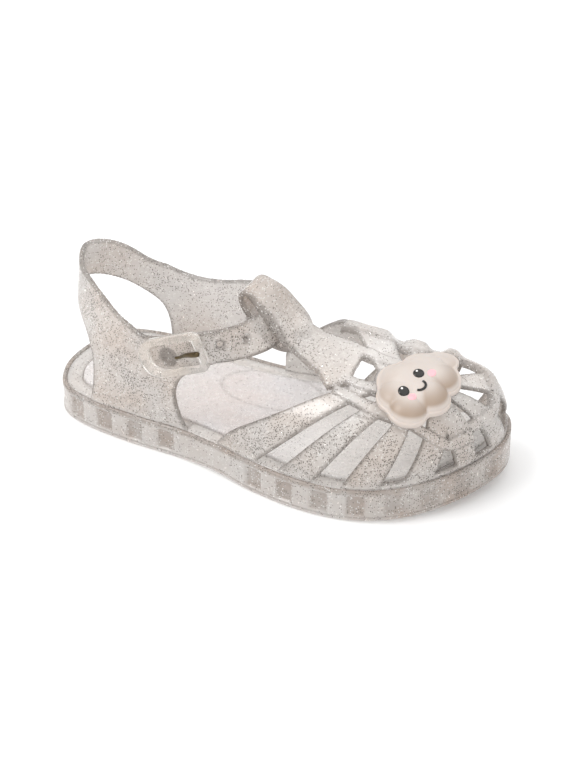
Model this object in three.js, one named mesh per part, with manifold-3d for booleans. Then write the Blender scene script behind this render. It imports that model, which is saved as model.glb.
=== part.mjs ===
// Child's jelly sandal, right shoe, moulded in clear glitter plastic.
// Frame while modelling: X from the heel tip (0) to the toe, Y towards the inner side of the foot,
// Z up from the floor, all in millimetres. The group is shifted at the end so that its origin is the
// middle of the whole shoe's footprint, on the floor.

import * as THREE from 'three';
import Module from 'manifold-3d';

const wasm = await Module();
wasm.setup();

// Driving dimensions of the sole

const LENGTH = 170;
const RIM_HEIGHT = 12;
const TOE_SPRING = 4.3;
const SPRING_START = 0.7;
const ARCH_RISE = 1.0;
const ARCH_MIDDLE = 76;
const ARCH_HALF = 17;
const LIP = 1.6;
const LIP_DEPTH = 2.3;
const RIB_DEPTH = 0.7;
const RIB_PITCH = 13;
const PLAIN_FROM = 61;
const PLAIN_TO = 86;
const FIT_GAP = 0.3;

// Plan outline of the sole, anticlockwise from below: outer side first, then back along the inner side
const OUTLINE = [
  { x: 0, y: -2 }, { x: 2, y: -13 }, { x: 8, y: -22.5 }, { x: 20, y: -27.5 },
  { x: 40, y: -30.4 }, { x: 60, y: -31.4 }, { x: 75, y: -34.3 }, { x: 92, y: -38.8 },
  { x: 110, y: -41.8 }, { x: 128, y: -41 }, { x: 144, y: -35 }, { x: 156, y: -24.5 },
  { x: 165, y: -11 }, { x: 170, y: 4 }, { x: 168.5, y: 16 }, { x: 163, y: 25.5 },
  { x: 152, y: 29 }, { x: 135, y: 29 }, { x: 115, y: 29.8 }, { x: 95, y: 27.5 },
  { x: 75, y: 25 }, { x: 55, y: 26 }, { x: 36, y: 27.5 }, { x: 20, y: 27 },
  { x: 8, y: 23 }, { x: 2, y: 12 },
];

// Driving dimensions of the upper

const WALL = 2.0;
const FOOT_INSET = 2.4;
const WELT_WIDTH = 5.4;
const WELT_HEIGHT = 1.8;
const ROOT_SHY = 0.15;
const STRIP_RAISE = 1.0;
const INNER_BAR_BULGE = 2.2;
const BULGE_END = 158;
const BULGE_FADE = 18;
const CROWN_RADIUS = 23;
const CROWN_FADE = 6;
const THROAT_LEAN = 0.6;
const POLE_X = 139;
const POST_RADIUS = 2.2;
const POST_LENGTH = 7;
const POST_DEPTH = 5;
const HUB_HOLE = 3.2;
const GIRTH_PER_DEGREE = 0.55;
const FAN_PER_DEGREE = 0.5;
const OUTER_FULLNESS = 2.2;
const INNER_FULLNESS = 3.4;
const FULL_FROM = 18;

// Height and side shift of the ridge over the instep, from the top of the T bar to the middle of the toe
const RIDGE = [
  { x: 76, y: -2, z: 62 }, { x: 80, y: -2, z: 58 }, { x: 84, y: -2, z: 53.4 },
  { x: 88, y: -2, z: 48.8 }, { x: 94, y: -2, z: 44.6 }, { x: 101, y: -3, z: 42.5 },
  { x: 110, y: -4.5, z: 41.6 }, { x: 120, y: -6, z: 41.1 }, { x: 130, y: -7.4, z: 40.5 },
  { x: 139, y: -8, z: 40 },
];

// Bars of the cage: where each leaves the sole edge, and how far it leans forward for each degree of rise
const OUTER_BARS = [
  { rear: 76, front: 94, rearLean: 0.66, frontLean: 0.52 },
  { rear: 103, front: 117, rearLean: 0.46, frontLean: 0.35 },
  { rear: 127, front: 139.5, rearLean: 0.28, frontLean: 0.24 },
  { rear: 147, front: 161.5, rearLean: 0.31, frontLean: 0.3 },
  { rear: 174, front: 188, rearLean: -0.1, frontLean: 0 },
];
const INNER_BARS = [
  { rear: 72, front: 95, rearLean: 0.5, frontLean: 0.5 },
  { rear: 106, front: 117, rearLean: 0.4, frontLean: 0.36 },
  { rear: 127, front: 138, rearLean: 0.28, frontLean: 0.2 },
  { rear: 148, front: 158, rearLean: 0.2, frontLean: 0.2 },
  { rear: 168, front: 177, rearLean: 0.1, frontLean: 0.1 },
];

// Long strips of the weave: station along the shoe, middle angle and half width in degrees
const STRIPS = [
  [{ at: 112, angle: -17, half: 6 }, { at: 118, angle: -18, half: 3.6 }, { at: 145, angle: -20, half: 4 }],
  [{ at: 104, angle: 2, half: 8 }, { at: 118, angle: 9, half: 4.5 }, { at: 145, angle: 12, half: 4.5 }],
  [{ at: 116, angle: -27, half: 3 }, { at: 133, angle: -33, half: 4.5 }, { at: 150, angle: -42, half: 5 },
    { at: 170, angle: -66, half: 5 }],
  [{ at: 104, angle: 30, half: 5 }, { at: 133, angle: 33, half: 5 }, { at: 150, angle: 40, half: 5 },
    { at: 172, angle: 60, half: 5 }],
];

// Outline of the T bar and throat, as angles either side of the ridge
const T_BAR = [
  { at: 74, outer: -13, inner: 13 }, { at: 88, outer: -15, inner: 15 },
  { at: 97, outer: -16, inner: 15 }, { at: 108, outer: -21, inner: 16 },
  { at: 114, outer: -29, inner: 14 }, { at: 118, outer: -24, inner: 13 },
  { at: 120, outer: -21, inner: -19 }, { at: 122, outer: -40, inner: -40 },
];
const PAD_HEIGHT = 3.6;
const PAD = { x: 87, y: -1, halfAcross: 10.5, halfAlong: 10 };
const HUB_RADIUS = 12.5;
const HUB_FROM = 128;
const TOE_RAND = 5;

// Ankle ring, once round from the heel by the outer side: place at mid height, edges and lean of the wall
const ANKLE_HEIGHT = 47;
const ANKLE = [
  { x: 5.4, y: 0, low: 45.5, high: 59.3, leanX: 0.06, leanY: 0 },
  { x: 10.8, y: -12, low: 45.2, high: 58, leanX: 0.1, leanY: 0.05 },
  { x: 18.8, y: -18.3, low: 40.2, high: 55.2, leanX: 0.1, leanY: 0.15 },
  { x: 26, y: -21.8, low: 38, high: 52.8, leanX: 0.05, leanY: 0.15 },
  { x: 36, y: -25, low: 35, high: 47.8, leanX: 0, leanY: 0.09 },
  { x: 46, y: -28, low: 33, high: 44.8, leanX: 0, leanY: 0.03 },
  { x: 57, y: -29.3, low: 35.5, high: 48.5, leanX: 0, leanY: 0 },
  { x: 68, y: -28.9, low: 40.5, high: 53, leanX: 0, leanY: 0.04 },
  { x: 77.5, y: -24, low: 42, high: 54, leanX: -0.2, leanY: 0.15 },
  { x: 84, y: -15, low: 42.5, high: 54, leanX: -0.5, leanY: 0.1 },
  { x: 86.3, y: -5, low: 43, high: 54.5, leanX: -0.62, leanY: 0 },
  { x: 84.8, y: 5, low: 44.5, high: 55.5, leanX: -0.6, leanY: 0 },
  { x: 78.5, y: 13, low: 46.6, high: 55, leanX: -0.35, leanY: -0.15 },
  { x: 68, y: 17.8, low: 43, high: 50.5, leanX: -0.1, leanY: -0.15 },
  { x: 57, y: 20.5, low: 35.5, high: 45, leanX: 0, leanY: -0.12 },
  { x: 46, y: 22, low: 31, high: 42, leanX: 0, leanY: -0.1 },
  { x: 36, y: 21, low: 30, high: 42.8, leanX: 0, leanY: -0.13 },
  { x: 26, y: 17.6, low: 33.3, high: 48.2, leanX: 0.05, leanY: -0.18 },
  { x: 15.4, y: 13.2, low: 40.6, high: 55.5, leanX: 0.14, leanY: -0.1 },
  { x: 7.8, y: 7.4, low: 44, high: 59, leanX: 0.14, leanY: -0.05 },
];

// Front and rear edges of the two quarters at each height
const OUTER_QUARTER = [
  { z: 9, rear: 21.5, front: 65 }, { z: 13, rear: 22, front: 62.5 }, { z: 19, rear: 22.8, front: 59.5 },
  { z: 25, rear: 22.6, front: 58.2 }, { z: 30, rear: 21.6, front: 59 }, { z: 34, rear: 20, front: 61.5 },
  { z: 38, rear: 17, front: 66 }, { z: 43, rear: 10, front: 74 },
];
const INNER_QUARTER = [
  { z: 9, rear: 27.5, front: 59 }, { z: 13, rear: 27.8, front: 59 }, { z: 21, rear: 28, front: 60.2 },
  { z: 27, rear: 27, front: 61.2 }, { z: 32, rear: 24.6, front: 62.2 }, { z: 36, rear: 21.5, front: 64 },
  { z: 40, rear: 17, front: 67 }, { z: 45, rear: 8, front: 75 },
];
const QUARTER_TOP = 46;
const CREASE_BLEND = 5;

// Fold of the T bar over the ankle strap: middle line of its wall, and half width across
const FOLD = [
  { x: 84, z: 53.4, half: 8.5 }, { x: 80.9, z: 57.5, half: 8 }, { x: 78.9, z: 59.6, half: 7.6 },
  { x: 76, z: 60.2, half: 7.2 }, { x: 74.2, z: 58.4, half: 7 }, { x: 74.9, z: 55.2, half: 7 },
  { x: 77.4, z: 51.2, half: 7 }, { x: 80.8, z: 46.4, half: 7 }, { x: 85.2, z: 42, half: 7 },
  { x: 91, z: 40.8, half: 6.5 }, { x: 96, z: 42, half: 6 },
];

// Buckle on the outer side, in its own frame: along the strap, up across it, and out from the foot
const BUCKLE = { x: 59.3, z: 43.2, slope: 23, length: 26.6, height: 15, back: -30.7, depth: 3.2, rim: 2.6 };
const PRONG = { from: -1.5, to: 9.7, radius: 0.75, out: 1.9 };

// Cloud ornament: lobes given across the shoe, back towards the heel, their radius and their height
const CLOUD_AT = { x: 141.5, y: -9, z: 41, slopeToe: 0.14, slopeOuter: 0.05 };
const CLOUD_LOBES = [
  { across: -15.6, back: -3.4, radius: 6.9, swell: 0.88 }, { across: -5.7, back: -5.6, radius: 9, swell: 1 },
  { across: 5.2, back: -5, radius: 9, swell: 0.95 }, { across: 14.9, back: -3.8, radius: 5.7, swell: 0.5 },
  { across: 7.8, back: -1.2, radius: 9, swell: 0.8 }, { across: -3.8, back: 1.2, radius: 11, swell: 0.95 },
  { across: -11.3, back: 1.4, radius: 8, swell: 0.92 }, { across: 0.5, back: -1.2, radius: 11, swell: 1 },
];
const CLOUD_EDGE = 1.6;
const CLOUD_PUFF = 4.2;
const CLOUD_ROUNDNESS = 0.6;
const CLOUD_SAG_RADIUS = 130;
const CLOUD_CLEARANCE = 0.6;

// Helpers for smooth tables and curves

const radians = THREE.MathUtils.degToRad;
const clamp = THREE.MathUtils.clamp;
const mix = THREE.MathUtils.lerp;
const smooth = (value, from, to) => THREE.MathUtils.smoothstep(value, from, to);

function hermite(p0, p1, p2, p3, t) {
  const slopeIn = (p2 - p0) / 2;
  const slopeOut = (p3 - p1) / 2;
  const bend = 3 * (p2 - p1) - 2 * slopeIn - slopeOut;
  const twist = 2 * (p1 - p2) + slopeIn + slopeOut;
  return p1 + t * (slopeIn + t * (bend + t * twist));
}

function rowAt(rows, position, closed) {
  const count = rows.length;
  const wrap = (index) => (closed ? (index + count) % count : clamp(index, 0, count - 1));
  const first = closed ? Math.floor(position) : Math.min(Math.floor(position), count - 2);
  const t = position - first;
  const row = {};
  for (const key of Object.keys(rows[0])) {
    const values = [-1, 0, 1, 2].map((step) => rows[wrap(first + step)][key]);
    row[key] = hermite(...values, t);
  }
  return row;
}

function lookUp(rows, column, value, result) {
  if (value <= rows[0][column]) return rows[0][result];
  for (let i = 1; i < rows.length; i += 1) {
    const low = rows[i - 1];
    const high = rows[i];
    if (value <= high[column]) {
      const t = (value - low[column]) / (high[column] - low[column]);
      return mix(low[result], high[result], t);
    }
  }
  return rows[rows.length - 1][result];
}

function smoothLookUp(rows, column, value, result) {
  const spread = 3;
  let sum = 0;
  for (const step of [-1, -0.5, 0, 0.5, 1]) sum += lookUp(rows, column, value + step * spread, result);
  return sum / 5;
}

// Union of two signed distances, with the corner between them rounded

function blendUnion(a, b, radius) {
  const h = Math.max(radius - Math.abs(a - b), 0) / radius;
  return Math.max(a, b) + (h * h * radius) / 4;
}

// Sole outline, insets and heights

const OUTLINE_STEPS = 16;

function outlineCurve() {
  const points = [];
  for (let i = 0; i < OUTLINE.length * OUTLINE_STEPS; i += 1) {
    points.push(rowAt(OUTLINE, i / OUTLINE_STEPS, true));
  }
  return points;
}

function insetCurve(points, distance) {
  const count = points.length;
  return points.map((point, i) => {
    const before = points[(i + count - 1) % count];
    const after = points[(i + 1) % count];
    const length = Math.hypot(after.x - before.x, after.y - before.y);
    return {
      x: point.x - ((after.y - before.y) / length) * distance,
      y: point.y + ((after.x - before.x) / length) * distance,
    };
  });
}

const EDGE = outlineCurve();
const FOOT_LINE = insetCurve(EDGE, FOOT_INSET);

function springRise(x) {
  const t = clamp((x / LENGTH - SPRING_START) / (1 - SPRING_START), 0, 1);
  return TOE_SPRING * t * t;
}

const rimHeight = (x) => RIM_HEIGHT + springRise(x);

function soleBottom(x) {
  const t = clamp(Math.abs(x - ARCH_MIDDLE) / ARCH_HALF, 0, 1);
  return springRise(x) + ARCH_RISE * (1 - t * t) ** 2;
}

// Stations along the sole: one point on the outer edge and one on the inner edge at each,
// spaced along the outer edge so that every rib of the side starts and ends at a station

function edgeStations(points, fractions, pitch) {
  const tip = points.reduce((best, point, i) => (point.x > points[best].x ? i : best), 0);
  const outer = points.slice(0, tip + 1);
  const inner = [...points.slice(tip), points[0]].reverse();
  const lengths = [0];
  for (let i = 1; i < outer.length; i += 1) {
    const step = Math.hypot(outer[i].x - outer[i - 1].x, outer[i].y - outer[i - 1].y);
    lengths.push(lengths[i - 1] + step);
  }
  const total = lengths[lengths.length - 1];
  const ribs = Math.round(total / pitch);
  const stations = [];
  for (let rib = 0; rib < ribs; rib += 1) {
    for (const fraction of fractions) {
      const goal = ((rib + fraction) / ribs) * total;
      const i = clamp(lengths.findIndex((length) => length > goal), 1, outer.length - 1);
      const t = (goal - lengths[i - 1]) / (lengths[i] - lengths[i - 1]);
      const spot = { x: mix(outer[i - 1].x, outer[i].x, t), y: mix(outer[i - 1].y, outer[i].y, t) };
      const along = (rib + fraction) / ribs;
      stations.push({ outer: spot, inner: pointAtShare(inner, along), raised: fraction >= 0.5 });
    }
  }
  stations.push({ outer: points[tip], inner: points[tip], raised: false });
  stations[0].inner = stations[0].outer;
  return stations;
}

function pointAtShare(points, share) {
  let total = 0;
  const lengths = [0];
  for (let i = 1; i < points.length; i += 1) {
    total += Math.hypot(points[i].x - points[i - 1].x, points[i].y - points[i - 1].y);
    lengths.push(total);
  }
  const i = clamp(lengths.findIndex((length) => length >= share * total), 1, points.length - 1);
  const t = (share * total - lengths[i - 1]) / (lengths[i] - lengths[i - 1]);
  return { x: mix(points[i - 1].x, points[i].x, t), y: mix(points[i - 1].y, points[i].y, t) };
}

// Closed solid from rings that follow the edge: the first and last ring are closed by a lid each

function edgeSolid(stations, rings, lidColumns) {
  const last = stations.length - 1;
  const loop = [];
  for (let i = 0; i <= last; i += 1) loop.push({ spot: stations[i].outer, raised: stations[i].raised });
  for (let i = last - 1; i > 0; i -= 1) loop.push({ spot: stations[i].inner, raised: stations[i].raised });
  const count = loop.length;
  const vertices = [];
  const faces = [];
  const ringStart = [];
  for (const ring of rings) {
    const plan = insetCurve(loop.map((entry) => entry.spot), 0);
    const normals = insetCurve(loop.map((entry) => entry.spot), 1);
    ringStart.push(vertices.length);
    for (let i = 0; i < count; i += 1) {
      const inset = ring.inset(loop[i]);
      const x = mix(plan[i].x, normals[i].x, inset);
      const y = mix(plan[i].y, normals[i].y, inset);
      vertices.push([x, y, ring.height(x, y)]);
    }
  }
  for (let r = 1; r < rings.length; r += 1) {
    for (let i = 0; i < count; i += 1) {
      const j = (i + 1) % count;
      const a = ringStart[r - 1];
      const b = ringStart[r];
      faces.push([a + i, b + j, a + j], [a + i, b + i, b + j]);
    }
  }
  const lid = (start, height, flip) => {
    const columns = [];
    for (let i = 0; i <= last; i += 1) {
      const outer = start + i;
      const inner = i === 0 || i === last ? outer : start + count - i;
      const row = [outer];
      for (let c = 1; c < lidColumns && inner !== outer; c += 1) {
        const t = c / lidColumns;
        const x = mix(vertices[outer][0], vertices[inner][0], t);
        const y = mix(vertices[outer][1], vertices[inner][1], t);
        vertices.push([x, y, height(x, y)]);
        row.push(vertices.length - 1);
      }
      row.push(inner);
      columns.push(row);
    }
    for (let i = 0; i < last; i += 1) {
      for (let c = 0; c < lidColumns; c += 1) {
        const a = columns[i][Math.min(c, columns[i].length - 1)];
        const b = columns[i][Math.min(c + 1, columns[i].length - 1)];
        const d = columns[i + 1][Math.min(c, columns[i + 1].length - 1)];
        const e = columns[i + 1][Math.min(c + 1, columns[i + 1].length - 1)];
        for (const face of [[a, d, e], [a, e, b]]) {
          if (new Set(face).size === 3) faces.push(flip ? face.reverse() : face);
        }
      }
    }
  };
  lid(ringStart[0], rings[0].height, false);
  lid(ringStart[rings.length - 1], rings[rings.length - 1].height, true);
  return toSolid(vertices, faces);
}

// Manifold solids and three.js geometry

function toSolid(vertices, faces) {
  const build = (list) => new wasm.Manifold(new wasm.Mesh({
    numProp: 3,
    vertProperties: new Float32Array(vertices.flat()),
    triVerts: new Uint32Array(list.flat()),
  }));
  const solid = build(faces);
  return solid.volume() > 0 ? solid : build(faces.map((face) => [face[0], face[2], face[1]]));
}

function geometrySolid(geometry) {
  const loose = geometry.index ? geometry.toNonIndexed() : geometry;
  const position = loose.attributes.position;
  const keys = new Map();
  const vertices = [];
  const faces = [];
  for (let i = 0; i < position.count; i += 3) {
    const face = [0, 1, 2].map((corner) => {
      const spot = [position.getX(i + corner), position.getY(i + corner), position.getZ(i + corner)];
      const key = spot.map((value) => Math.round(value * 1e4)).join();
      if (!keys.has(key)) {
        keys.set(key, vertices.length);
        vertices.push(spot);
      }
      return keys.get(key);
    });
    if (new Set(face).size === 3) faces.push(face);
  }
  return toSolid(vertices, faces);
}

function namedMesh(name, solid, material) {
  const { vertProperties, triVerts } = solid.getMesh();
  const geometry = new THREE.BufferGeometry();
  geometry.setAttribute('position', new THREE.BufferAttribute(new Float32Array(vertProperties), 3));
  geometry.setIndex(new THREE.BufferAttribute(new Uint32Array(triVerts), 1));
  geometry.computeVertexNormals();
  const mesh = new THREE.Mesh(geometry, material);
  mesh.name = name;
  return mesh;
}

// A moulded wall: a surface, cut out where its mask is positive, and given its thickness.
// A patch is a grid of points that know their place, mask and how far the wall stands out and in.

function gridPatch(columns, rows, describe, closed) {
  const nodes = [];
  const cells = [];
  for (let i = 0; i < columns; i += 1) {
    for (let j = 0; j < rows; j += 1) nodes.push(describe(i, j));
  }
  const spans = closed ? columns : columns - 1;
  for (let i = 0; i < spans; i += 1) {
    const next = (i + 1) % columns;
    for (let j = 0; j < rows - 1; j += 1) {
      cells.push([i * rows + j, next * rows + j, next * rows + j + 1, i * rows + j + 1]);
    }
  }
  return { nodes, cells };
}

function joinPatches(patches) {
  const nodes = [];
  const cells = [];
  const keys = new Map();
  for (const patch of patches) {
    const places = patch.nodes.map((node) => {
      const key = node.place.toArray().map((value) => Math.round(value * 1e3)).join();
      if (!keys.has(key)) {
        keys.set(key, nodes.length);
        nodes.push(node);
      }
      return keys.get(key);
    });
    for (const cell of patch.cells) cells.push(cell.map((corner) => places[corner]));
  }
  return { nodes, cells };
}

function wallSolid({ nodes, cells }) {
  const vertices = [];
  const faces = [];
  const known = new Map();
  const addPair = (key, node) => {
    if (!known.has(key)) {
      const top = node.place.clone().addScaledVector(node.normal, node.out);
      const bottom = node.place.clone().addScaledVector(node.normal, -node.in);
      known.set(key, vertices.length);
      vertices.push(top.toArray(), bottom.toArray());
    }
    return known.get(key);
  };
  const crossing = (a, b) => {
    const [low, high] = a < b ? [a, b] : [b, a];
    const first = nodes[low];
    const second = nodes[high];
    const t = clamp(first.mask / (first.mask - second.mask), 0.06, 0.94);
    const normal = first.normal.clone().lerp(second.normal, t).normalize();
    const place = first.place.clone().lerp(second.place, t);
    return addPair(`${low}_${high}`, {
      place, normal, out: mix(first.out, second.out, t), in: mix(first.in, second.in, t),
    });
  };
  const edges = new Map();
  const addPolygon = (polygon) => {
    for (let i = 1; i + 1 < polygon.length; i += 1) {
      const [a, b, c] = [polygon[0], polygon[i], polygon[i + 1]];
      faces.push([a, b, c], [a + 1, c + 1, b + 1]);
    }
    for (let i = 0; i < polygon.length; i += 1) {
      const a = polygon[i];
      const b = polygon[(i + 1) % polygon.length];
      if (edges.has(`${b}_${a}`)) edges.delete(`${b}_${a}`);
      else edges.set(`${a}_${b}`, [a, b]);
    }
  };
  for (const cell of cells) {
    const inside = cell.map((corner) => nodes[corner].mask > 0);
    if (!inside.some(Boolean)) continue;
    const opposite = inside[0] === inside[2] && inside[1] === inside[3] && inside[0] !== inside[1];
    const middle = cell.reduce((sum, corner) => sum + nodes[corner].mask, 0);
    if (opposite && middle <= 0) {
      for (let k = 0; k < 4; k += 1) {
        if (!inside[k]) continue;
        const here = addPair(`${cell[k]}`, nodes[cell[k]]);
        const after = crossing(cell[k], cell[(k + 1) % 4]);
        const before = crossing(cell[k], cell[(k + 3) % 4]);
        addPolygon([here, after, before]);
      }
      continue;
    }
    const polygon = [];
    for (let k = 0; k < 4; k += 1) {
      const next = (k + 1) % 4;
      if (inside[k]) polygon.push(addPair(`${cell[k]}`, nodes[cell[k]]));
      if (inside[k] !== inside[next]) polygon.push(crossing(cell[k], cell[next]));
    }
    addPolygon(polygon);
  }
  for (const [a, b] of edges.values()) faces.push([b, a, a + 1], [b, a + 1, b + 1]);
  return toSolid(vertices, faces);
}

// Vamp and toe box: sections across the foot as far as the middle of the toe box, then a fan round the toe

function edgeSide(curve, x, side) {
  let found = side > 0 ? -Infinity : Infinity;
  for (let i = 0; i < curve.length; i += 1) {
    const a = curve[i];
    const b = curve[(i + 1) % curve.length];
    if ((a.x - x) * (b.x - x) > 0 || a.x === b.x) continue;
    const y = mix(a.y, b.y, (x - a.x) / (b.x - a.x));
    found = side > 0 ? Math.max(found, y) : Math.min(found, y);
  }
  return found;
}

function edgeReach(curve, from, directionX, directionY) {
  let reach = 0;
  for (let i = 0; i < curve.length; i += 1) {
    const a = curve[i];
    const b = curve[(i + 1) % curve.length];
    const spanX = b.x - a.x;
    const spanY = b.y - a.y;
    const cross = directionX * spanY - directionY * spanX;
    if (Math.abs(cross) < 1e-9) continue;
    const along = ((a.x - from.x) * spanY - (a.y - from.y) * spanX) / cross;
    const share = ((a.x - from.x) * directionY - (a.y - from.y) * directionX) / cross;
    if (share >= 0 && share <= 1 && along > reach) reach = along;
  }
  return reach;
}

function archRadius(fullness, angle) {
  return (Math.abs(Math.sin(angle)) ** fullness + Math.abs(Math.cos(angle)) ** fullness) ** (-1 / fullness);
}

function sectionPoint(x, degrees) {
  const angle = radians(Math.abs(degrees));
  const fullness = degrees < 0 ? OUTER_FULLNESS : INNER_FULLNESS;
  const ridgeY = smoothLookUp(RIDGE, 'x', x, 'y');
  const ridgeZ = smoothLookUp(RIDGE, 'x', x, 'z');
  const footY = edgeSide(FOOT_LINE, x, degrees < 0 ? -1 : 1);
  const radius = archRadius(fullness, angle);
  const y = ridgeY + (footY - ridgeY) * radius * Math.sin(angle);
  const z = rimHeight(x) + (ridgeZ - rimHeight(x)) * radius * Math.cos(angle);
  return new THREE.Vector3(x, y, z);
}

function fanFullness(turn) {
  return mix(OUTER_FULLNESS, INNER_FULLNESS, smooth(turn, FULL_FROM, 90));
}

function fanPoint(turn, degrees) {
  const angle = radians(degrees);
  const pole = sectionPoint(POLE_X, 0);
  const fullness = fanFullness(turn);
  const directionX = Math.cos(radians(turn));
  const directionY = Math.sin(radians(turn));
  const reach = edgeReach(FOOT_LINE, pole, directionX, directionY);
  const radius = archRadius(fullness, angle);
  const foot = rimHeight(pole.x + directionX * reach);
  return new THREE.Vector3(
    pole.x + directionX * reach * radius * Math.sin(angle),
    pole.y + directionY * reach * radius * Math.sin(angle),
    foot + (pole.z - foot) * radius * Math.cos(angle),
  );
}

// Height of the middle of the wall over a place in plan
function crownHeight(x, y) {
  const pole = sectionPoint(POLE_X, 0);
  if (x <= POLE_X) {
    const ridgeY = smoothLookUp(RIDGE, 'x', x, 'y');
    const ridgeZ = smoothLookUp(RIDGE, 'x', x, 'z');
    const fullness = y < ridgeY ? OUTER_FULLNESS : INNER_FULLNESS;
    const share = Math.min(1, (y - ridgeY) / (edgeSide(FOOT_LINE, x, y < ridgeY ? -1 : 1) - ridgeY));
    return rimHeight(x) + (ridgeZ - rimHeight(x)) * (1 - share ** fullness) ** (1 / fullness);
  }
  const away = Math.hypot(x - pole.x, y - pole.y);
  const reach = edgeReach(FOOT_LINE, pole, (x - pole.x) / away, (y - pole.y) / away);
  const fullness = fanFullness(THREE.MathUtils.radToDeg(Math.atan2(y - pole.y, x - pole.x)));
  const foot = rimHeight(pole.x + ((x - pole.x) / away) * reach);
  return foot + (pole.z - foot) * (1 - Math.min(1, away / reach) ** fullness) ** (1 / fullness);
}

function barMask(bars, station, rise) {
  let best = -Infinity;
  for (const bar of bars) {
    const rear = station - (bar.rear + bar.rearLean * rise);
    const front = bar.front + bar.frontLean * rise - station;
    const steep = Math.hypot(1, (bar.rearLean + bar.frontLean) / 2 / GIRTH_PER_DEGREE);
    best = Math.max(best, Math.min(rear, front) / steep);
  }
  return best;
}

function stripMask(strip, station, degrees) {
  if (station < strip[0].at) return -Infinity;
  const middle = lookUp(strip, 'at', station, 'angle');
  const half = lookUp(strip, 'at', station, 'half');
  return (half - Math.abs(degrees - middle)) * GIRTH_PER_DEGREE;
}

function tBarMask(station, degrees) {
  const outer = degrees - lookUp(T_BAR, 'at', station, 'outer');
  const inner = lookUp(T_BAR, 'at', station, 'inner') - degrees;
  return Math.min(outer, inner) * GIRTH_PER_DEGREE;
}

// Mask of the whole cage and the part of it that stands proud, at one station and angle
function cageMask(station, degrees, fromPole) {
  const rise = 90 - Math.abs(degrees);
  const bars = barMask(degrees < 0 ? OUTER_BARS : INNER_BARS, station, rise);
  const strips = Math.max(...STRIPS.map((strip) => stripMask(strip, station, degrees)));
  const behindThroat = station - (degrees < 0 ? OUTER_BARS : INNER_BARS)[0].rear - THROAT_LEAN * rise;
  const rand = Math.min(TOE_RAND - rise, station - POLE_X) * GIRTH_PER_DEGREE;
  const hub = Math.min(HUB_RADIUS - fromPole, station - HUB_FROM + fromPole);
  const weave = Math.min(Math.max(bars, strips, rand, hub), Math.max(behindThroat, strips, hub));
  const fading = 1 - smooth(station, BULGE_END - BULGE_FADE, BULGE_END);
  const inward = degrees > 0 ? Math.sin(radians(2 * degrees)) * fading : 0;
  const bulge = inward * smooth(bars, -1.5, 2.5) * smooth(fromPole, CROWN_RADIUS - CROWN_FADE, CROWN_RADIUS);
  return {
    mask: Math.max(weave, tBarMask(station, degrees)),
    raised: Math.max(strips, tBarMask(station, degrees)),
    bulge: bulge * INNER_BAR_BULGE,
  };
}

function cageNode(surface, station, degrees, normalSteps) {
  const place = surface(0, 0);
  const across = surface(0, normalSteps).sub(surface(0, -normalSteps));
  const along = surface(normalSteps, 0).sub(surface(-normalSteps, 0));
  const normal = along.cross(across).normalize();
  const fromPole = place.distanceTo(sectionPoint(POLE_X, 0));
  const { mask, raised, bulge } = cageMask(station, degrees, fromPole);
  const padAcross = (place.y - PAD.y) / PAD.halfAcross;
  const padAlong = (place.x - PAD.x) / PAD.halfAlong;
  const padShare = clamp(1 - padAcross ** 2 - padAlong ** 2, 0, 1);
  const outward = normal.z < 0 ? normal.negate() : normal;
  return {
    place: place.addScaledVector(outward, bulge),
    normal: outward,
    mask: Math.min(mask, fromPole - HUB_HOLE),
    out: WALL / 2 + STRIP_RAISE * smooth(raised, -1.2, 1.2) + PAD_HEIGHT * padShare * (2 - padShare),
    in: WALL / 2,
  };
}

const SECTION_FROM = 77;
const SECTION_COLUMNS = 21;
const ANGLE_ROWS = 14;
const FAN_COLUMNS = 25;

function vampSolid() {
  const patches = [];
  for (const side of [-1, 1]) {
    patches.push(gridPatch(SECTION_COLUMNS, ANGLE_ROWS, (i, j) => {
      const x = mix(SECTION_FROM, POLE_X, i / (SECTION_COLUMNS - 1));
      const degrees = (90 * j) / (ANGLE_ROWS - 1);
      const signed = side * Math.max(degrees, 1e-6);
      const surface = (dx, da) => sectionPoint(x + dx, signed + da);
      return cageNode(surface, x, signed, 0.4);
    }));
  }
  patches[1].cells = patches[1].cells.map((cell) => cell.reverse());
  patches.push(gridPatch(FAN_COLUMNS, ANGLE_ROWS, (i, j) => {
    const turn = -90 + (180 * i) / (FAN_COLUMNS - 1);
    const degrees = (90 * j) / (ANGLE_ROWS - 1);
    const station = POLE_X + (90 - Math.abs(turn)) * FAN_PER_DEGREE;
    const signed = (turn < 0 ? -1 : 1) * Math.max(degrees, 1e-6);
    const shared = i === 0 || i === FAN_COLUMNS - 1;
    const surface = shared
      ? (dx, da) => sectionPoint(POLE_X + dx, signed + da)
      : (dt, da) => fanPoint(turn + dt * 2, degrees + da);
    return cageNode(surface, station, signed, 0.4);
  }));
  return wallSolid(joinPatches(patches));
}

// Ankle ring with the two quarters that stand on the sole

const ANKLE_COLUMNS = 54;
const ANKLE_ROWS = 11;
const ANKLE_BOTTOM = 10.4;
const ANKLE_TOP = 61.4;

function ankleMask(row, place) {
  const band = Math.min(place.z - row.low, row.high - place.z);
  const table = place.y < 0 ? OUTER_QUARTER : INNER_QUARTER;
  const rear = place.x - smoothLookUp(table, 'z', place.z, 'rear');
  const front = smoothLookUp(table, 'z', place.z, 'front') - place.x;
  const top = Math.min(QUARTER_TOP, row.high) - place.z;
  return blendUnion(band, Math.min(rear, front, top), CREASE_BLEND);
}

function anklePoint(position, z) {
  const row = rowAt(ANKLE, position, true);
  const rise = z - ANKLE_HEIGHT;
  return new THREE.Vector3(row.x + row.leanX * rise, row.y + row.leanY * rise, z);
}

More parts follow.
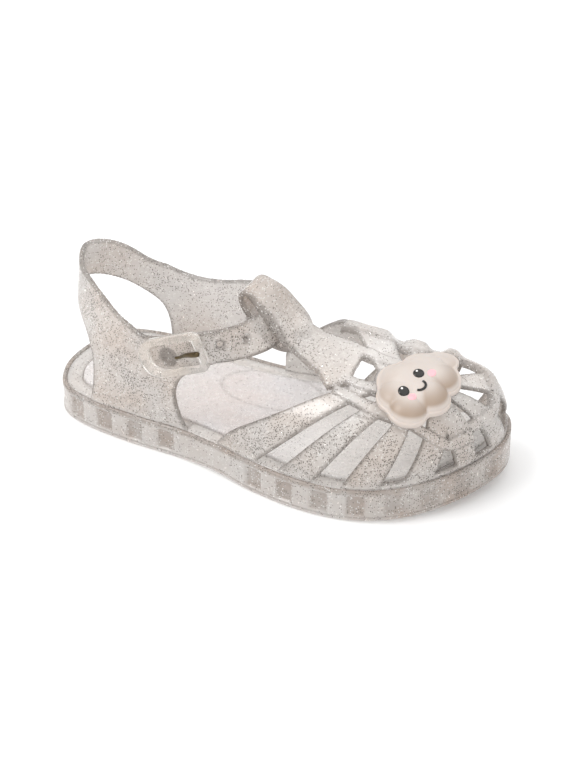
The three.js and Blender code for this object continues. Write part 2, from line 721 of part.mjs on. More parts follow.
function ankleSolid() {
  return wallSolid(gridPatch(ANKLE_COLUMNS, ANKLE_ROWS, (i, j) => {
    const position = (i / ANKLE_COLUMNS) * ANKLE.length;
    const z = mix(ANKLE_BOTTOM, ANKLE_TOP, j / (ANKLE_ROWS - 1));
    const row = rowAt(ANKLE, position, true);
    const place = anklePoint(position, z);
    const along = anklePoint(position + 0.05, z).sub(anklePoint(position - 0.05, z));
    const upward = anklePoint(position, z + 1).sub(place);
    const normal = along.cross(upward).normalize();
    return { place, normal, mask: ankleMask(row, place), out: WALL / 2, in: WALL / 2 };
  }, true));
}

// Fold of the T bar over the strap

function foldSolid() {
  const columns = 19;
  const rows = 5;
  const edge = 10;
  return wallSolid(gridPatch(columns, rows, (i, j) => {
    const position = (i / (columns - 1)) * (FOLD.length - 1);
    const row = rowAt(FOLD, position, false);
    const ahead = rowAt(FOLD, Math.min(position + 0.05, FOLD.length - 1), false);
    const behind = rowAt(FOLD, Math.max(position - 0.05, 0), false);
    const y = RIDGE[0].y + mix(-edge, edge, j / (rows - 1));
    const normal = new THREE.Vector3(ahead.z - behind.z, 0, behind.x - ahead.x).normalize();
    const mask = row.half - Math.abs(y - RIDGE[0].y);
    return { place: new THREE.Vector3(row.x, y, row.z), normal, mask, out: WALL / 2, in: WALL / 2 };
  }));
}

// Welt: the flat band that joins the feet of bars and quarters, lying in the step of the sole's top

function weltSolid() {
  const stations = edgeStations(insetCurve(EDGE, LIP + FIT_GAP), [0, 0.5], RIB_PITCH);
  const hollow = edgeStations(insetCurve(EDGE, LIP + FIT_GAP + WELT_WIDTH), [0, 0.5], RIB_PITCH);
  const flat = { inset: () => 0, height: (x) => rimHeight(x) - LIP_DEPTH + FIT_GAP + WELT_HEIGHT };
  const under = { inset: () => 0, height: (x) => rimHeight(x) - LIP_DEPTH + FIT_GAP };
  const above = { inset: () => 0, height: (x) => rimHeight(x) + 2 };
  const below = { inset: () => 0, height: (x) => rimHeight(x) - LIP_DEPTH - 2 };
  return edgeSolid(stations, [flat, under], 1).subtract(edgeSolid(hollow, [above, below], 1));
}

function upperSolid() {
  const welt = weltSolid();
  const whole = edgeStations(EDGE, [0, 0.5], RIB_PITCH);
  const within = edgeStations(insetCurve(EDGE, LIP + FIT_GAP + ROOT_SHY), [0, 0.5], RIB_PITCH);
  const tall = { inset: () => 0, height: (x) => rimHeight(x) + 80 };
  const overLip = { inset: () => 0, height: (x) => rimHeight(x) + FIT_GAP };
  const overStep = { inset: () => 0, height: (x) => rimHeight(x) - LIP_DEPTH + FIT_GAP + ROOT_SHY };
  const room = edgeSolid(whole, [tall, overLip], 1).add(edgeSolid(within, [tall, overStep], 1));
  const walls = vampSolid().add(ankleSolid()).add(foldSolid());
  return walls.intersect(room).add(welt);
}

// Sole with a lip round its top, ribbed blocks round its side and a low arch under the waist

function soleSolid() {
  const stations = edgeStations(EDGE, [0, 0.08, 0.5, 0.58], RIB_PITCH);
  const rib = (entry) => {
    const plain = entry.spot.x > PLAIN_FROM && entry.spot.x < PLAIN_TO;
    return entry.raised || plain ? 0 : RIB_DEPTH;
  };
  const at = (share) => (x) => mix(soleBottom(x), rimHeight(x), share);
  return edgeSolid(stations, [
    { inset: () => LIP, height: (x) => rimHeight(x) - LIP_DEPTH },
    { inset: () => LIP, height: rimHeight },
    { inset: () => 0.4, height: rimHeight },
    { inset: () => 0, height: (x) => rimHeight(x) - 0.5 },
    { inset: () => 0, height: at(0.8) },
    { inset: rib, height: at(0.72) },
    { inset: rib, height: at(0.24) },
    { inset: () => 0, height: at(0.16) },
    { inset: () => 0.5, height: soleBottom },
  ], 2);
}

// Insole: a thin dished footbed inside the welt

const INSOLE_THICK = 2.6;
const INSOLE_DISH = 0.7;

function insoleSolid() {
  const inset = LIP + FIT_GAP + WELT_WIDTH + FIT_GAP;
  const edge = insetCurve(EDGE, inset);
  const stations = edgeStations(edge, [0, 0.5], RIB_PITCH);
  const floor = (x) => rimHeight(x) - LIP_DEPTH + FIT_GAP;
  const dish = (x, y) => {
    const outer = edgeSide(edge, clamp(x, 9, LENGTH - 10), -1);
    const inner = edgeSide(edge, clamp(x, 9, LENGTH - 10), 1);
    const t = clamp((y - outer) / (inner - outer), 0, 1);
    return floor(x) + INSOLE_THICK - INSOLE_DISH * Math.sin(Math.PI * t);
  };
  return edgeSolid(stations, [
    { inset: () => 0, height: dish },
    { inset: () => 0, height: floor },
  ], 4);
}

// Buckle frame and prong, made in the buckle's own frame and then set on the strap

function roundedShape(halfLength, halfHeight, rearRadius, frontRadius) {
  const shape = new THREE.Shape();
  shape.moveTo(-halfLength + rearRadius, -halfHeight);
  shape.lineTo(halfLength - frontRadius, -halfHeight);
  shape.absarc(halfLength - frontRadius, -halfHeight + frontRadius, frontRadius, -Math.PI / 2, 0);
  shape.lineTo(halfLength, halfHeight - frontRadius);
  shape.absarc(halfLength - frontRadius, halfHeight - frontRadius, frontRadius, 0, Math.PI / 2);
  shape.lineTo(-halfLength + rearRadius, halfHeight);
  shape.absarc(-halfLength + rearRadius, halfHeight - rearRadius, rearRadius, Math.PI / 2, Math.PI);
  shape.lineTo(-halfLength, -halfHeight + rearRadius);
  shape.absarc(-halfLength + rearRadius, -halfHeight + rearRadius, rearRadius, Math.PI, Math.PI * 1.5);
  return shape;
}

function setOnStrap(geometry) {
  geometry.rotateX(Math.PI / 2);
  geometry.rotateY(-radians(BUCKLE.slope));
  geometry.translate(BUCKLE.x, BUCKLE.back, BUCKLE.z);
  return geometry;
}

function buckleFrameSolid() {
  const shape = roundedShape(BUCKLE.length / 2, BUCKLE.height / 2, 6.5, 2.5);
  const opening = roundedShape(BUCKLE.length / 2 - BUCKLE.rim, BUCKLE.height / 2 - BUCKLE.rim, 4, 1);
  shape.holes.push(opening);
  const geometry = new THREE.ExtrudeGeometry(shape, {
    depth: BUCKLE.depth - 1, bevelEnabled: true, bevelSize: 0.5, bevelThickness: 0.5,
    bevelOffset: -0.5, bevelSegments: 1, curveSegments: 5,
  });
  geometry.translate(0, 0, 0.5);
  return geometrySolid(setOnStrap(geometry));
}

function prongSolid() {
  const geometry = new THREE.CapsuleGeometry(PRONG.radius, PRONG.to - PRONG.from, 3, 8);
  geometry.rotateZ(Math.PI / 2);
  geometry.translate((PRONG.from + PRONG.to) / 2, 0, PRONG.out);
  return geometrySolid(setOnStrap(geometry));
}

// Cloud ornament: a puffed disc with lobes, hollowed underneath to sit on the toe box, and its post

function cloudReach(angle) {
  let reach = 0;
  for (const lobe of CLOUD_LOBES) {
    const along = lobe.across * Math.cos(angle) + lobe.back * Math.sin(angle);
    const aside = lobe.across * Math.sin(angle) - lobe.back * Math.cos(angle);
    if (Math.abs(aside) < lobe.radius) {
      reach = Math.max(reach, along + Math.sqrt(lobe.radius ** 2 - aside ** 2));
    }
  }
  return reach;
}

function cloudTop(across, back) {
  let height = 0;
  for (const lobe of CLOUD_LOBES) {
    const share = 1 - ((across - lobe.across) ** 2 + (back - lobe.back) ** 2) / lobe.radius ** 2;
    if (share > 0) height = Math.max(height, lobe.swell * share ** CLOUD_ROUNDNESS);
  }
  return CLOUD_EDGE + CLOUD_PUFF * height;
}

function cloudSolid() {
  const spokes = 36;
  const rings = 4;
  const spot = (across, back, edge) => {
    const x = CLOUD_AT.x - back;
    const y = CLOUD_AT.y + across;
    const seat = crownHeight(x, y) + WALL / 2 + STRIP_RAISE + CLOUD_CLEARANCE;
    const lean = back * CLOUD_AT.slopeToe + across * CLOUD_AT.slopeOuter;
    const under = CLOUD_AT.z + lean - (across ** 2 + back ** 2) / (2 * CLOUD_SAG_RADIUS);
    const low = Math.max(seat, under);
    const puff = under + cloudTop(across, back);
    return [[x, y, edge ? low + CLOUD_EDGE : Math.max(puff, low + CLOUD_EDGE)], [x, y, low]];
  };
  const vertices = [...spot(0, 0, false)];
  const faces = [];
  for (let k = 1; k <= rings; k += 1) {
    for (let i = 0; i < spokes; i += 1) {
      const angle = (2 * Math.PI * i) / spokes;
      const away = cloudReach(angle) * Math.sin((Math.PI / 2) * (k / rings));
      vertices.push(...spot(Math.cos(angle) * away, Math.sin(angle) * away, k === rings));
    }
  }
  const at = (k, i) => 2 + 2 * ((k - 1) * spokes + (i % spokes));
  for (let i = 0; i < spokes; i += 1) {
    faces.push([0, at(1, i), at(1, i + 1)], [1, at(1, i + 1) + 1, at(1, i) + 1]);
    for (let k = 1; k < rings; k += 1) {
      const [a, b, c, d] = [at(k, i), at(k + 1, i), at(k + 1, i + 1), at(k, i + 1)];
      faces.push([a, b, c], [a, c, d], [a + 1, c + 1, b + 1], [a + 1, d + 1, c + 1]);
    }
    const [a, b] = [at(rings, i), at(rings, i + 1)];
    faces.push([a, a + 1, b + 1], [a, b + 1, b]);
  }
  const hub = sectionPoint(POLE_X, 0);
  const post = new THREE.CylinderGeometry(POST_RADIUS, POST_RADIUS, POST_LENGTH, 16);
  post.rotateX(Math.PI / 2);
  post.translate(hub.x, hub.y, hub.z + WALL + POST_LENGTH / 2 - POST_DEPTH);
  return toSolid(vertices, faces).add(geometrySolid(post));
}

// Materials and assembly

const jelly = () => new THREE.MeshStandardMaterial({ color: 0xd9d4cf, roughness: 0.12, metalness: 0 });
const steel = new THREE.MeshStandardMaterial({ color: 0x7a6a58, roughness: 0.35, metalness: 1 });
const ivory = new THREE.MeshStandardMaterial({ color: 0xeaddd2, roughness: 0.45, metalness: 0 });

const sandal = new THREE.Group();
sandal.add(namedMesh('sole', soleSolid(), jelly()));
sandal.add(namedMesh('insole', insoleSolid(), jelly()));
sandal.add(namedMesh('upper', upperSolid(), jelly()));
sandal.add(namedMesh('buckle_frame', buckleFrameSolid(), jelly()));
sandal.add(namedMesh('buckle_prong', prongSolid(), steel));
sandal.add(namedMesh('cloud_ornament', cloudSolid(), ivory));

const box = new THREE.Box3().setFromObject(sandal);
sandal.position.set(-(box.min.x + box.max.x) / 2, -(box.min.y + box.max.y) / 2, -box.min.z);

export default sandal;
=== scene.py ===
# %% [markdown]
# # A child's jelly sandal
# A jelly sandal is moulded in one or two shots of soft clear plastic with glitter stirred in.
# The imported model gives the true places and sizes. This file dresses it: the moulded walls are made
# again with fine rounded edges, and every piece gets a plastic, glitter, metal or paint finish.

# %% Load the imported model
import math

import bmesh
import bpy
import numpy as np
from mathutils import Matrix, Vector
from mathutils.kdtree import KDTree


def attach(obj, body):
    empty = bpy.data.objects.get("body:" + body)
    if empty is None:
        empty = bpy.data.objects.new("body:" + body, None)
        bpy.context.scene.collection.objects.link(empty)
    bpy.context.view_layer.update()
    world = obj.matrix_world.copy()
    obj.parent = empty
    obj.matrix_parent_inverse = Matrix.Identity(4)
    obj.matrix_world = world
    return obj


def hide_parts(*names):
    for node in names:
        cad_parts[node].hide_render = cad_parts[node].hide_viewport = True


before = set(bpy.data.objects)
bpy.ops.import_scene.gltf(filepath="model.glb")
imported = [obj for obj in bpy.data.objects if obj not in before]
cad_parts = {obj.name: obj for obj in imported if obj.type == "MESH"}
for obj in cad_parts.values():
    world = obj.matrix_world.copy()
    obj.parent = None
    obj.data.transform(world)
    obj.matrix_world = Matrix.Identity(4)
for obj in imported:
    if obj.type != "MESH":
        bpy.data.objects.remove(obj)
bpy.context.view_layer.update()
MM = 0.001

# %% [markdown]
# ## Camera
# The photograph looks at the outer side of the right shoe, from a little in front and well above.
# The lens is long, so the shoe shows little perspective.

# %% Camera at the photograph's angle
# Distances are in metres, the lens and its sensor in millimetres
AZIMUTH, ELEVATION = math.radians(26.0), math.radians(32.1)
DISTANCE = 0.740
LENS, SENSOR_WIDTH = 96.3, 36
EYE_TARGET = (0.0, 0.0031, 0.021)
VIEW_TARGET = (0.0042, 0.0045, 0.0225)

level = math.cos(ELEVATION)
back = (math.sin(AZIMUTH) * level, -math.cos(AZIMUTH) * level, math.sin(ELEVATION))
eye = [EYE_TARGET[i] + DISTANCE * back[i] for i in range(3)]
camera = bpy.data.objects.new("camera", bpy.data.cameras.new("camera"))
bpy.context.scene.collection.objects.link(camera)
camera.data.lens = LENS
camera.data.sensor_width = SENSOR_WIDTH
camera.location = eye
look = Vector([VIEW_TARGET[i] - eye[i] for i in range(3)])
camera.rotation_euler = look.to_track_quat("-Z", "Y").to_euler()
bpy.context.scene.camera = camera
print("camera looks at a point", round(look.length, 3), "m away")

# %% [markdown]
# ## Driving sizes
# Sizes are in millimetres, measured from the heel tip along the shoe, with Y towards the inner side.
# They are the moulding's own: the outline of the sole, the ridge of the cage over the foot, the places of
# the bars, and the ring round the ankle.

# %% Sizes of the sole and of the walls
LENGTH = 170.0
RIM = 12.0
# The toe springs up from this share of the length on
TOE_SPRING, SPRING_START = 4.3, 0.7
ARCH_RISE, ARCH_MIDDLE, ARCH_HALF = 1.0, 76.0, 17.0
LIP, LIP_DEPTH = 1.6, 2.3
FIT_GAP = 0.3
WELT_WIDTH, WELT_HEIGHT = 5.4, 1.8
WALL, STRIP_RAISE = 2.0, 1.0
FOOT_INSET = 2.4
OUTLINE = [
    (0, -2), (2, -13), (8, -22.5), (20, -27.5), (40, -30.4), (60, -31.4), (75, -34.3), (92, -38.8),
    (110, -41.8), (128, -41), (144, -35), (156, -24.5), (165, -11), (170, 4), (168.5, 16), (163, 25.5),
    (152, 29), (135, 29), (115, 29.8), (95, 27.5), (75, 25), (55, 26), (36, 27.5), (20, 27), (8, 23), (2, 12),
]


def spline(rows, t, closed=False):
    """Smooth curve through the rows of a table, at positions t counted in rows."""
    rows = np.asarray(rows, float)
    count = len(rows)
    first = np.floor(t).astype(int)
    if not closed:
        first = np.minimum(first, count - 2)
    share = (t - first)[:, None]

    def row(step):
        index = first + step
        return rows[index % count if closed else np.clip(index, 0, count - 1)]

    p0, p1, p2, p3 = row(-1), row(0), row(1), row(2)
    slope_in, slope_out = (p2 - p0) / 2, (p3 - p1) / 2
    bend = 3 * (p2 - p1) - 2 * slope_in - slope_out
    twist = 2 * (p1 - p2) + slope_in + slope_out
    return p1 + share * (slope_in + share * (bend + share * twist))


def inset(curve, distance):
    """A closed curve moved inwards by a distance."""
    along = np.roll(curve, -1, 0) - np.roll(curve, 1, 0)
    along /= np.linalg.norm(along, axis=1)[:, None]
    return curve + np.column_stack([-along[:, 1], along[:, 0]]) * distance


def halves(curve):
    """The outer and the inner half of a closed curve, each from heel tip to toe tip."""
    ring = np.roll(curve, -int(curve[:, 0].argmin()), 0)
    end = int(ring[:, 0].argmax())
    return ring[:end + 1], np.vstack([ring[end:], ring[:1]])[::-1]


def run_length(line):
    """Length along a line up to each of its points."""
    return np.concatenate([[0], np.cumsum(np.linalg.norm(np.diff(line, axis=0), axis=1))])


def soft_table(table, column, place):
    """A column of a table at a place in its first column, with the corners softened."""
    return sum(np.interp(place + step, table[:, 0], table[:, column]) for step in (-3, -1.5, 0, 1.5, 3)) / 5


edge = spline(OUTLINE, np.arange(len(OUTLINE) * 16) / 16, True)
foot_line = inset(edge, FOOT_INSET)
SHIFT = np.array([-(edge[:, 0].min() + edge[:, 0].max()) / 2, -(edge[:, 1].min() + edge[:, 1].max()) / 2, 0])
print("outline", (edge.max(0) - edge.min(0)).round(1), "mm, shifted by", SHIFT.round(2))

# %% [markdown]
# ## Height of the sole along the shoe
# The toe springs up a little, and the waist has a low arch, so the shoe rests on its heel and its ball.

# %% Heights of the sole


def smooth(value, low, high):
    t = np.clip((value - low) / (high - low), 0, 1)
    return t * t * (3 - 2 * t)


def spring(x):
    t = np.clip((x / LENGTH - SPRING_START) / (1 - SPRING_START), 0, 1)
    return TOE_SPRING * t * t


def rim(x):
    return RIM + spring(x)


def underside(x):
    t = np.clip(np.abs(x - ARCH_MIDDLE) / ARCH_HALF, 0, 1)
    return spring(x) + ARCH_RISE * (1 - t * t) ** 2


print("rim at the toe", round(float(rim(LENGTH)), 1), "mm")

# %% [markdown]
# ## Moulded walls
# Every strap is part of one wall. It is described as a surface with a mask: where the mask is
# positive there is plastic, and its value is the distance from the strap's edge in millimetres. The wall
# gets its thickness on both sides, thinner close to an edge, so each edge is rounded as a mould leaves it.

# %% A wall from a grid of points and its mask
# Each edge is rounded over a width in mm, down to a share of the wall's thickness
EDGE_ROUND, EDGE_FLOOR = 0.9, 0.35
# Distance noted where no step is near, and how close to a grid point a cut across a cell may come
NO_STEP, CUT_MARGIN = 9.0, 0.04
marks = []


def grid_normals(places):
    """Unit normals of a grid of points."""
    normal = np.cross(np.gradient(places, axis=0), np.gradient(places, axis=1))
    length = np.linalg.norm(normal, axis=2, keepdims=True)
    return normal / np.maximum(length, 1e-9)


def rounded(mask, half):
    """Half thickness of the wall at a distance from its edge."""
    t = np.clip(1 - mask / EDGE_ROUND, 0, 1)
    return half * (EDGE_FLOOR + (1 - EDGE_FLOOR) * np.sqrt(1 - t * t))


def wall(places, normals, mask, out, index, step=None):
    """Closed shell round the part of a surface where the mask is positive. The arrays are grids, out is the
    outer half of the thickness, and points with the same number in the index are one point.
    Each point also notes how far it is from the wall's edge and from a step in it, for its finish and the
    painted shade along them."""
    cells = np.stack([index[:-1, :-1], index[1:, :-1], index[1:, 1:], index[:-1, 1:]], -1).reshape(-1, 4)
    step = np.full(mask.shape, NO_STEP) if step is None else step
    places, normals = places.reshape(-1, 3), normals.reshape(-1, 3)
    mask, out, step = mask.ravel(), out.ravel(), step.ravel()
    vertices, faces, known, rim_edges = [], [], {}, {}

    def pair(key, place, normal, m, up, s=NO_STEP):
        if key not in known:
            known[key] = len(vertices)
            vertices.append(place + normal * rounded(m, up))
            vertices.append(place - normal * rounded(m, WALL / 2))
            marks.extend([(*vertices[-2], m, s), (*vertices[-1], m, NO_STEP)])
        return known[key]

    def node(i):
        return pair(i, places[i], normals[i], mask[i], out[i], step[i])

    def crossing(a, b):
        a, b = min(a, b), max(a, b)
        t = min(max(mask[a] / (mask[a] - mask[b]), CUT_MARGIN), 1 - CUT_MARGIN)
        normal = normals[a] * (1 - t) + normals[b] * t
        normal = normal / max(np.linalg.norm(normal), 1e-9)
        place = places[a] * (1 - t) + places[b] * t
        return pair((a, b), place, normal, 0.0, out[a] * (1 - t) + out[b] * t)

    def polygon(corners):
        corners = [c for k, c in enumerate(corners) if c != corners[k - 1]]
        if len(corners) < 3:
            return
        faces.append(corners)
        faces.append([c + 1 for c in reversed(corners)])
        for k, a in enumerate(corners):
            b = corners[(k + 1) % len(corners)]
            if (b, a) in rim_edges:
                del rim_edges[(b, a)]
            else:
                rim_edges[(a, b)] = True

    for cell in cells.tolist():
        inside = [mask[c] > 0 for c in cell]
        if not any(inside):
            continue
        opposite = inside[0] == inside[2] and inside[1] == inside[3] and inside[0] != inside[1]
        if opposite and sum(mask[c] for c in cell) <= 0:
            for k in range(4):
                if inside[k]:
                    here, after, before = cell[k], cell[(k + 1) % 4], cell[k - 1]
                    polygon([node(here), crossing(here, after), crossing(here, before)])
            continue
        corners = []
        for k in range(4):
            here, after = cell[k], cell[(k + 1) % 4]
            if inside[k]:
                corners.append(node(here))
            if inside[k] != inside[(k + 1) % 4]:
                corners.append(crossing(here, after))
        polygon(corners)
    for a, b in rim_edges:
        faces.append([b, a, a + 1, b + 1])
    return np.array(vertices), faces


def make_mesh(name, vertices, faces):
    """A mesh object from points in millimetres, with its normals turned outwards."""
    mesh = bpy.data.meshes.new(name)
    mesh.from_pydata(((np.asarray(vertices) + SHIFT) * MM).tolist(), [], faces)
    made = bmesh.new()
    made.from_mesh(mesh)
    bmesh.ops.remove_doubles(made, verts=made.verts, dist=1e-6)
    bmesh.ops.recalc_face_normals(made, faces=made.faces)
    made.to_mesh(mesh)
    made.free()
    mesh.shade_smooth()
    piece = bpy.data.objects.new(name, mesh)
    bpy.context.scene.collection.objects.link(piece)
    return piece


def open_edges(piece):
    """How many edges of a mesh aren't shared by two faces."""
    made = bmesh.new()
    made.from_mesh(piece.data)
    count = sum(1 for e in made.edges if len(e.link_faces) != 2)
    made.free()
    return count


# %% [markdown]
# ## The cage over the foot
# Sections across the foot run as far as the middle of the toe box, and a fan of them goes round the toe.
# A place on it is a station along the shoe and an angle from the ridge, 90 degrees at the sole.

# %% Surface of the cage
# Middle of the toe box, stations for each degree round the toe, and mm on a section for each degree
POLE_X, FAN_PER_DEGREE, GIRTH = 139.0, 0.5, 0.55
# A fullness of 2 is an ellipse and more is squarer. Round the toe it grows from one side to the other
OUTER_FULLNESS, INNER_FULLNESS, FULL_FROM = 2.2, 3.4, 18.0
# Columns: place along the shoe, place across it, and height of the ridge
RIDGE = np.array([
    (76, -2, 62), (80, -2, 58), (84, -2, 53.4), (88, -2, 48.8), (94, -2, 44.6), (101, -3, 42.5),
    (110, -4.5, 41.6), (120, -6, 41.1), (130, -7.4, 40.5), (139, -8, 40),
])
outer_half, inner_half = halves(foot_line)


def arch(fullness, angle):
    return (np.abs(np.sin(angle)) ** fullness + np.abs(np.cos(angle)) ** fullness) ** (-1 / fullness)


def section(x, side, degrees):
    """Points on the section at x, on one side (-1 outer, 1 inner), at angles from the ridge."""
    half = outer_half if side < 0 else inner_half
    fullness = OUTER_FULLNESS if side < 0 else INNER_FULLNESS
    foot = np.interp(x, half[:, 0], half[:, 1])
    angle = np.radians(degrees)
    radius = arch(fullness, angle)
    ridge_y, ridge_z = soft_table(RIDGE, 1, x), soft_table(RIDGE, 2, x)
    return np.stack([
        x + 0 * angle,
        ridge_y + (foot - ridge_y) * radius * np.sin(angle),
        rim(x) + (ridge_z - rim(x)) * radius * np.cos(angle),
    ], -1)


pole = section(np.array(POLE_X), -1, np.array(0.0))
around = np.degrees(np.arctan2(foot_line[:, 1] - pole[1], foot_line[:, 0] - pole[0]))
ahead = np.argsort(around)


def fan_reach(turn):
    """How far the foot of the fan is from its pole, at a turn from straight ahead."""
    return np.interp(turn, around[ahead], np.hypot(*(foot_line - pole[:2]).T)[ahead])


def fan_fullness(turn):
    return OUTER_FULLNESS + (INNER_FULLNESS - OUTER_FULLNESS) * smooth(turn, FULL_FROM, 90)


def fan(turn, degrees):
    """Points on the fan round the toe, at a turn from straight ahead."""
    reach, fullness = fan_reach(turn), fan_fullness(turn)
    angle = np.radians(degrees)
    radius = arch(fullness, angle)
    foot = rim(pole[0] + np.cos(np.radians(turn)) * reach)
    return np.stack([
        pole[0] + np.cos(np.radians(turn)) * reach * radius * np.sin(angle),
        pole[1] + np.sin(np.radians(turn)) * reach * radius * np.sin(angle),
        foot + (pole[2] - foot) * radius * np.cos(angle),
    ], -1)


print("middle of the toe box stands", round(float(pole[2]), 1), "mm high")

# %% [markdown]
# ## Bars, strips and the T bar
# The weave is one wall. Bars rise from the sole and lean forward. Two strips run from the T bar to
# the ornament, one on each side goes round the toe, and all of them stand a little proud of the bars.

# %% Mask of the cage
# Columns: rear foot, front foot, rear lean and front lean, in mm for each degree of rise
OUTER_BARS = [
    (76, 94, 0.66, 0.52), (103, 117, 0.46, 0.35), (127, 139.5, 0.28, 0.24), (147, 161.5, 0.31, 0.3),
    (174, 188, -0.1, 0),
]
INNER_BARS = [
    (72, 95, 0.5, 0.5), (106, 117, 0.4, 0.36), (127, 138, 0.28, 0.2), (148, 158, 0.2, 0.2),
    (168, 177, 0.1, 0.1),
]
# Columns: station, middle angle, half width in degrees
STRIPS = [
    [(112, -17, 6), (118, -18, 3.6), (145, -20, 4)],
    [(104, 2, 8), (118, 9, 4.5), (145, 12, 4.5)],
    [(116, -27, 3), (133, -33, 4.5), (150, -42, 5), (170, -66, 5)],
    [(104, 30, 5), (133, 33, 5), (150, 40, 5), (172, 60, 5)],
]
# Columns: station, outer and inner edge in degrees from the ridge
T_BAR = np.array([
    (74, -13, 13), (88, -15, 15), (97, -16, 15), (108, -21, 16), (114, -29, 14), (118, -24, 13),
    (120, -21, -19), (122, -40, -40),
])
# Pad of the T bar: height, middle and half sizes
PAD_HEIGHT, PAD_X, PAD_Y, PAD_ACROSS, PAD_ALONG = 3.6, 87, -1, 10.5, 10
# Hub of the weave under the ornament, how far back it goes, and the hole for the ornament's post
HUB_RADIUS, HUB_REAR, HUB_HOLE = 12.5, 128, 3.2
# Lean of the weave's rear end in mm for each degree, and height of the solid strip round the toe in degrees
REAR_LEAN, TOE_RAND = 0.6, 5
# The inner bars swell out by BULGE mm, behind the station BULGE_END and more than CROWN mm from the pole
BULGE, BULGE_END, CROWN = 2.2, 158, 23


def bar_mask(bars, station, rise):
    best = np.full(station.shape, -99.0)
    for rear, front, rear_lean, front_lean in bars:
        steep = math.hypot(1, (rear_lean + front_lean) / 2 / GIRTH)
        gap = np.minimum(station - (rear + rear_lean * rise), front + front_lean * rise - station) / steep
        best = np.maximum(best, gap)
    return best


def strip_mask(strip, station, degrees):
    table = np.array(strip, float)
    middle, half = (np.interp(station, table[:, 0], table[:, column]) for column in (1, 2))
    return np.minimum((half - np.abs(degrees - middle)) * GIRTH, station - table[0, 0])


def cage_mask(station, degrees, from_pole):
    """Distance inside the cage, distance inside its raised strips, and the swell of the inner bars."""
    rise = 90 - np.abs(degrees)
    outer = degrees < 0
    bars = np.where(outer, bar_mask(OUTER_BARS, station, rise), bar_mask(INNER_BARS, station, rise))
    strips = np.max([strip_mask(strip, station, degrees) for strip in STRIPS], axis=0)
    first = np.where(outer, OUTER_BARS[0][0], INNER_BARS[0][0])
    behind = station - first - REAR_LEAN * rise
    rand = np.minimum(TOE_RAND - rise, station - POLE_X) * GIRTH
    hub = np.minimum(HUB_RADIUS - from_pole, station - HUB_REAR + from_pole)
    weave = np.minimum(np.max([bars, strips, rand, hub], axis=0), np.max([behind, strips, hub], axis=0))
    t_outer, t_inner = (np.interp(station, T_BAR[:, 0], T_BAR[:, column]) for column in (1, 2))
    t_bar = np.minimum(degrees - t_outer, t_inner - degrees) * GIRTH
    swell = np.where(outer, 0, np.sin(np.radians(2 * np.abs(degrees))))
    swell = swell * (1 - smooth(station, BULGE_END - 18, BULGE_END))
    swell = swell * smooth(bars, -1.5, 2.5) * smooth(from_pole, CROWN - 6, CROWN)
    return np.maximum(weave, t_bar), np.maximum(strips, t_bar), swell * BULGE


print("the weave has", len(OUTER_BARS) + len(INNER_BARS), "bars and", len(STRIPS), "raised strips")

# %% [markdown]
# The cage is one grid: the outer sections, the fan round the toe, and back along the inner sections.
# Its first row is the ridge, where the two sides share their points.

# %% Cage as one grid
SECTION_FROM, SECTION_STEPS, FAN_STEPS, ANGLE_STEPS = 77.0, 104, 150, 84


def cage_wall():
    angles = np.linspace(0, 90, ANGLE_STEPS + 1)
    xs = np.linspace(SECTION_FROM, POLE_X, SECTION_STEPS + 1)
    columns = [(section(np.full_like(angles, x), -1, angles), x, -1) for x in xs]
    for turn in np.linspace(-90, 90, FAN_STEPS + 1)[1:-1]:
        at_turn = POLE_X + (90 - abs(turn)) * FAN_PER_DEGREE
        columns.append((fan(np.full_like(angles, turn), angles), at_turn, -1 if turn < 0 else 1))
    columns += [(section(np.full_like(angles, x), 1, angles), x, 1) for x in xs[::-1]]
    places = np.array([c[0] for c in columns])
    station = np.array([c[1] for c in columns])[:, None] + 0 * angles
    degrees = np.array([c[2] for c in columns])[:, None] * np.maximum(angles, 1e-6)
    normals = grid_normals(places)
    normals[:, 0] = normals[:, 1]
    if normals[..., 2].mean() < 0:
        normals = -normals
    index = np.arange(station.size).reshape(station.shape)
    ridge = len(columns)
    for i in range(SECTION_STEPS + 1):
        both = normals[i, 0] + normals[ridge - 1 - i, 0]
        normals[i, 0] = normals[ridge - 1 - i, 0] = both / np.linalg.norm(both)
        index[ridge - 1 - i, 0] = index[i, 0]
    normals[SECTION_STEPS:ridge - SECTION_STEPS, 0] = (0, 0, 1)
    index[SECTION_STEPS:ridge - SECTION_STEPS, 0] = index[SECTION_STEPS, 0]
    from_pole = np.linalg.norm(places - pole, axis=2)
    mask, raised, swell = cage_mask(station, degrees, from_pole)
    across = (places[..., 1] - PAD_Y) / PAD_ACROSS
    along = (places[..., 0] - PAD_X) / PAD_ALONG
    pad = np.clip(1 - across ** 2 - along ** 2, 0, 1)
    out = WALL / 2 + STRIP_RAISE * smooth(raised, -0.5, 0.6) + PAD_HEIGHT * pad * (2 - pad)
    places = places + normals * swell[..., None]
    return wall(places, normals, np.minimum(mask, from_pole - HUB_HOLE), out, index, np.abs(raised))


cage = make_mesh("cage", *cage_wall())
print("cage", len(cage.data.polygons), "faces,", open_edges(cage), "open edges")

# %% [markdown]
# ## Ankle ring and quarters
# One band goes round the ankle: the high sling behind the heel, the strap over the instep and two
# quarters that stand on the sole. Where the band meets a quarter the corner is a large soft curve.

# %% Ankle ring
ANKLE_HEIGHT = 47.0
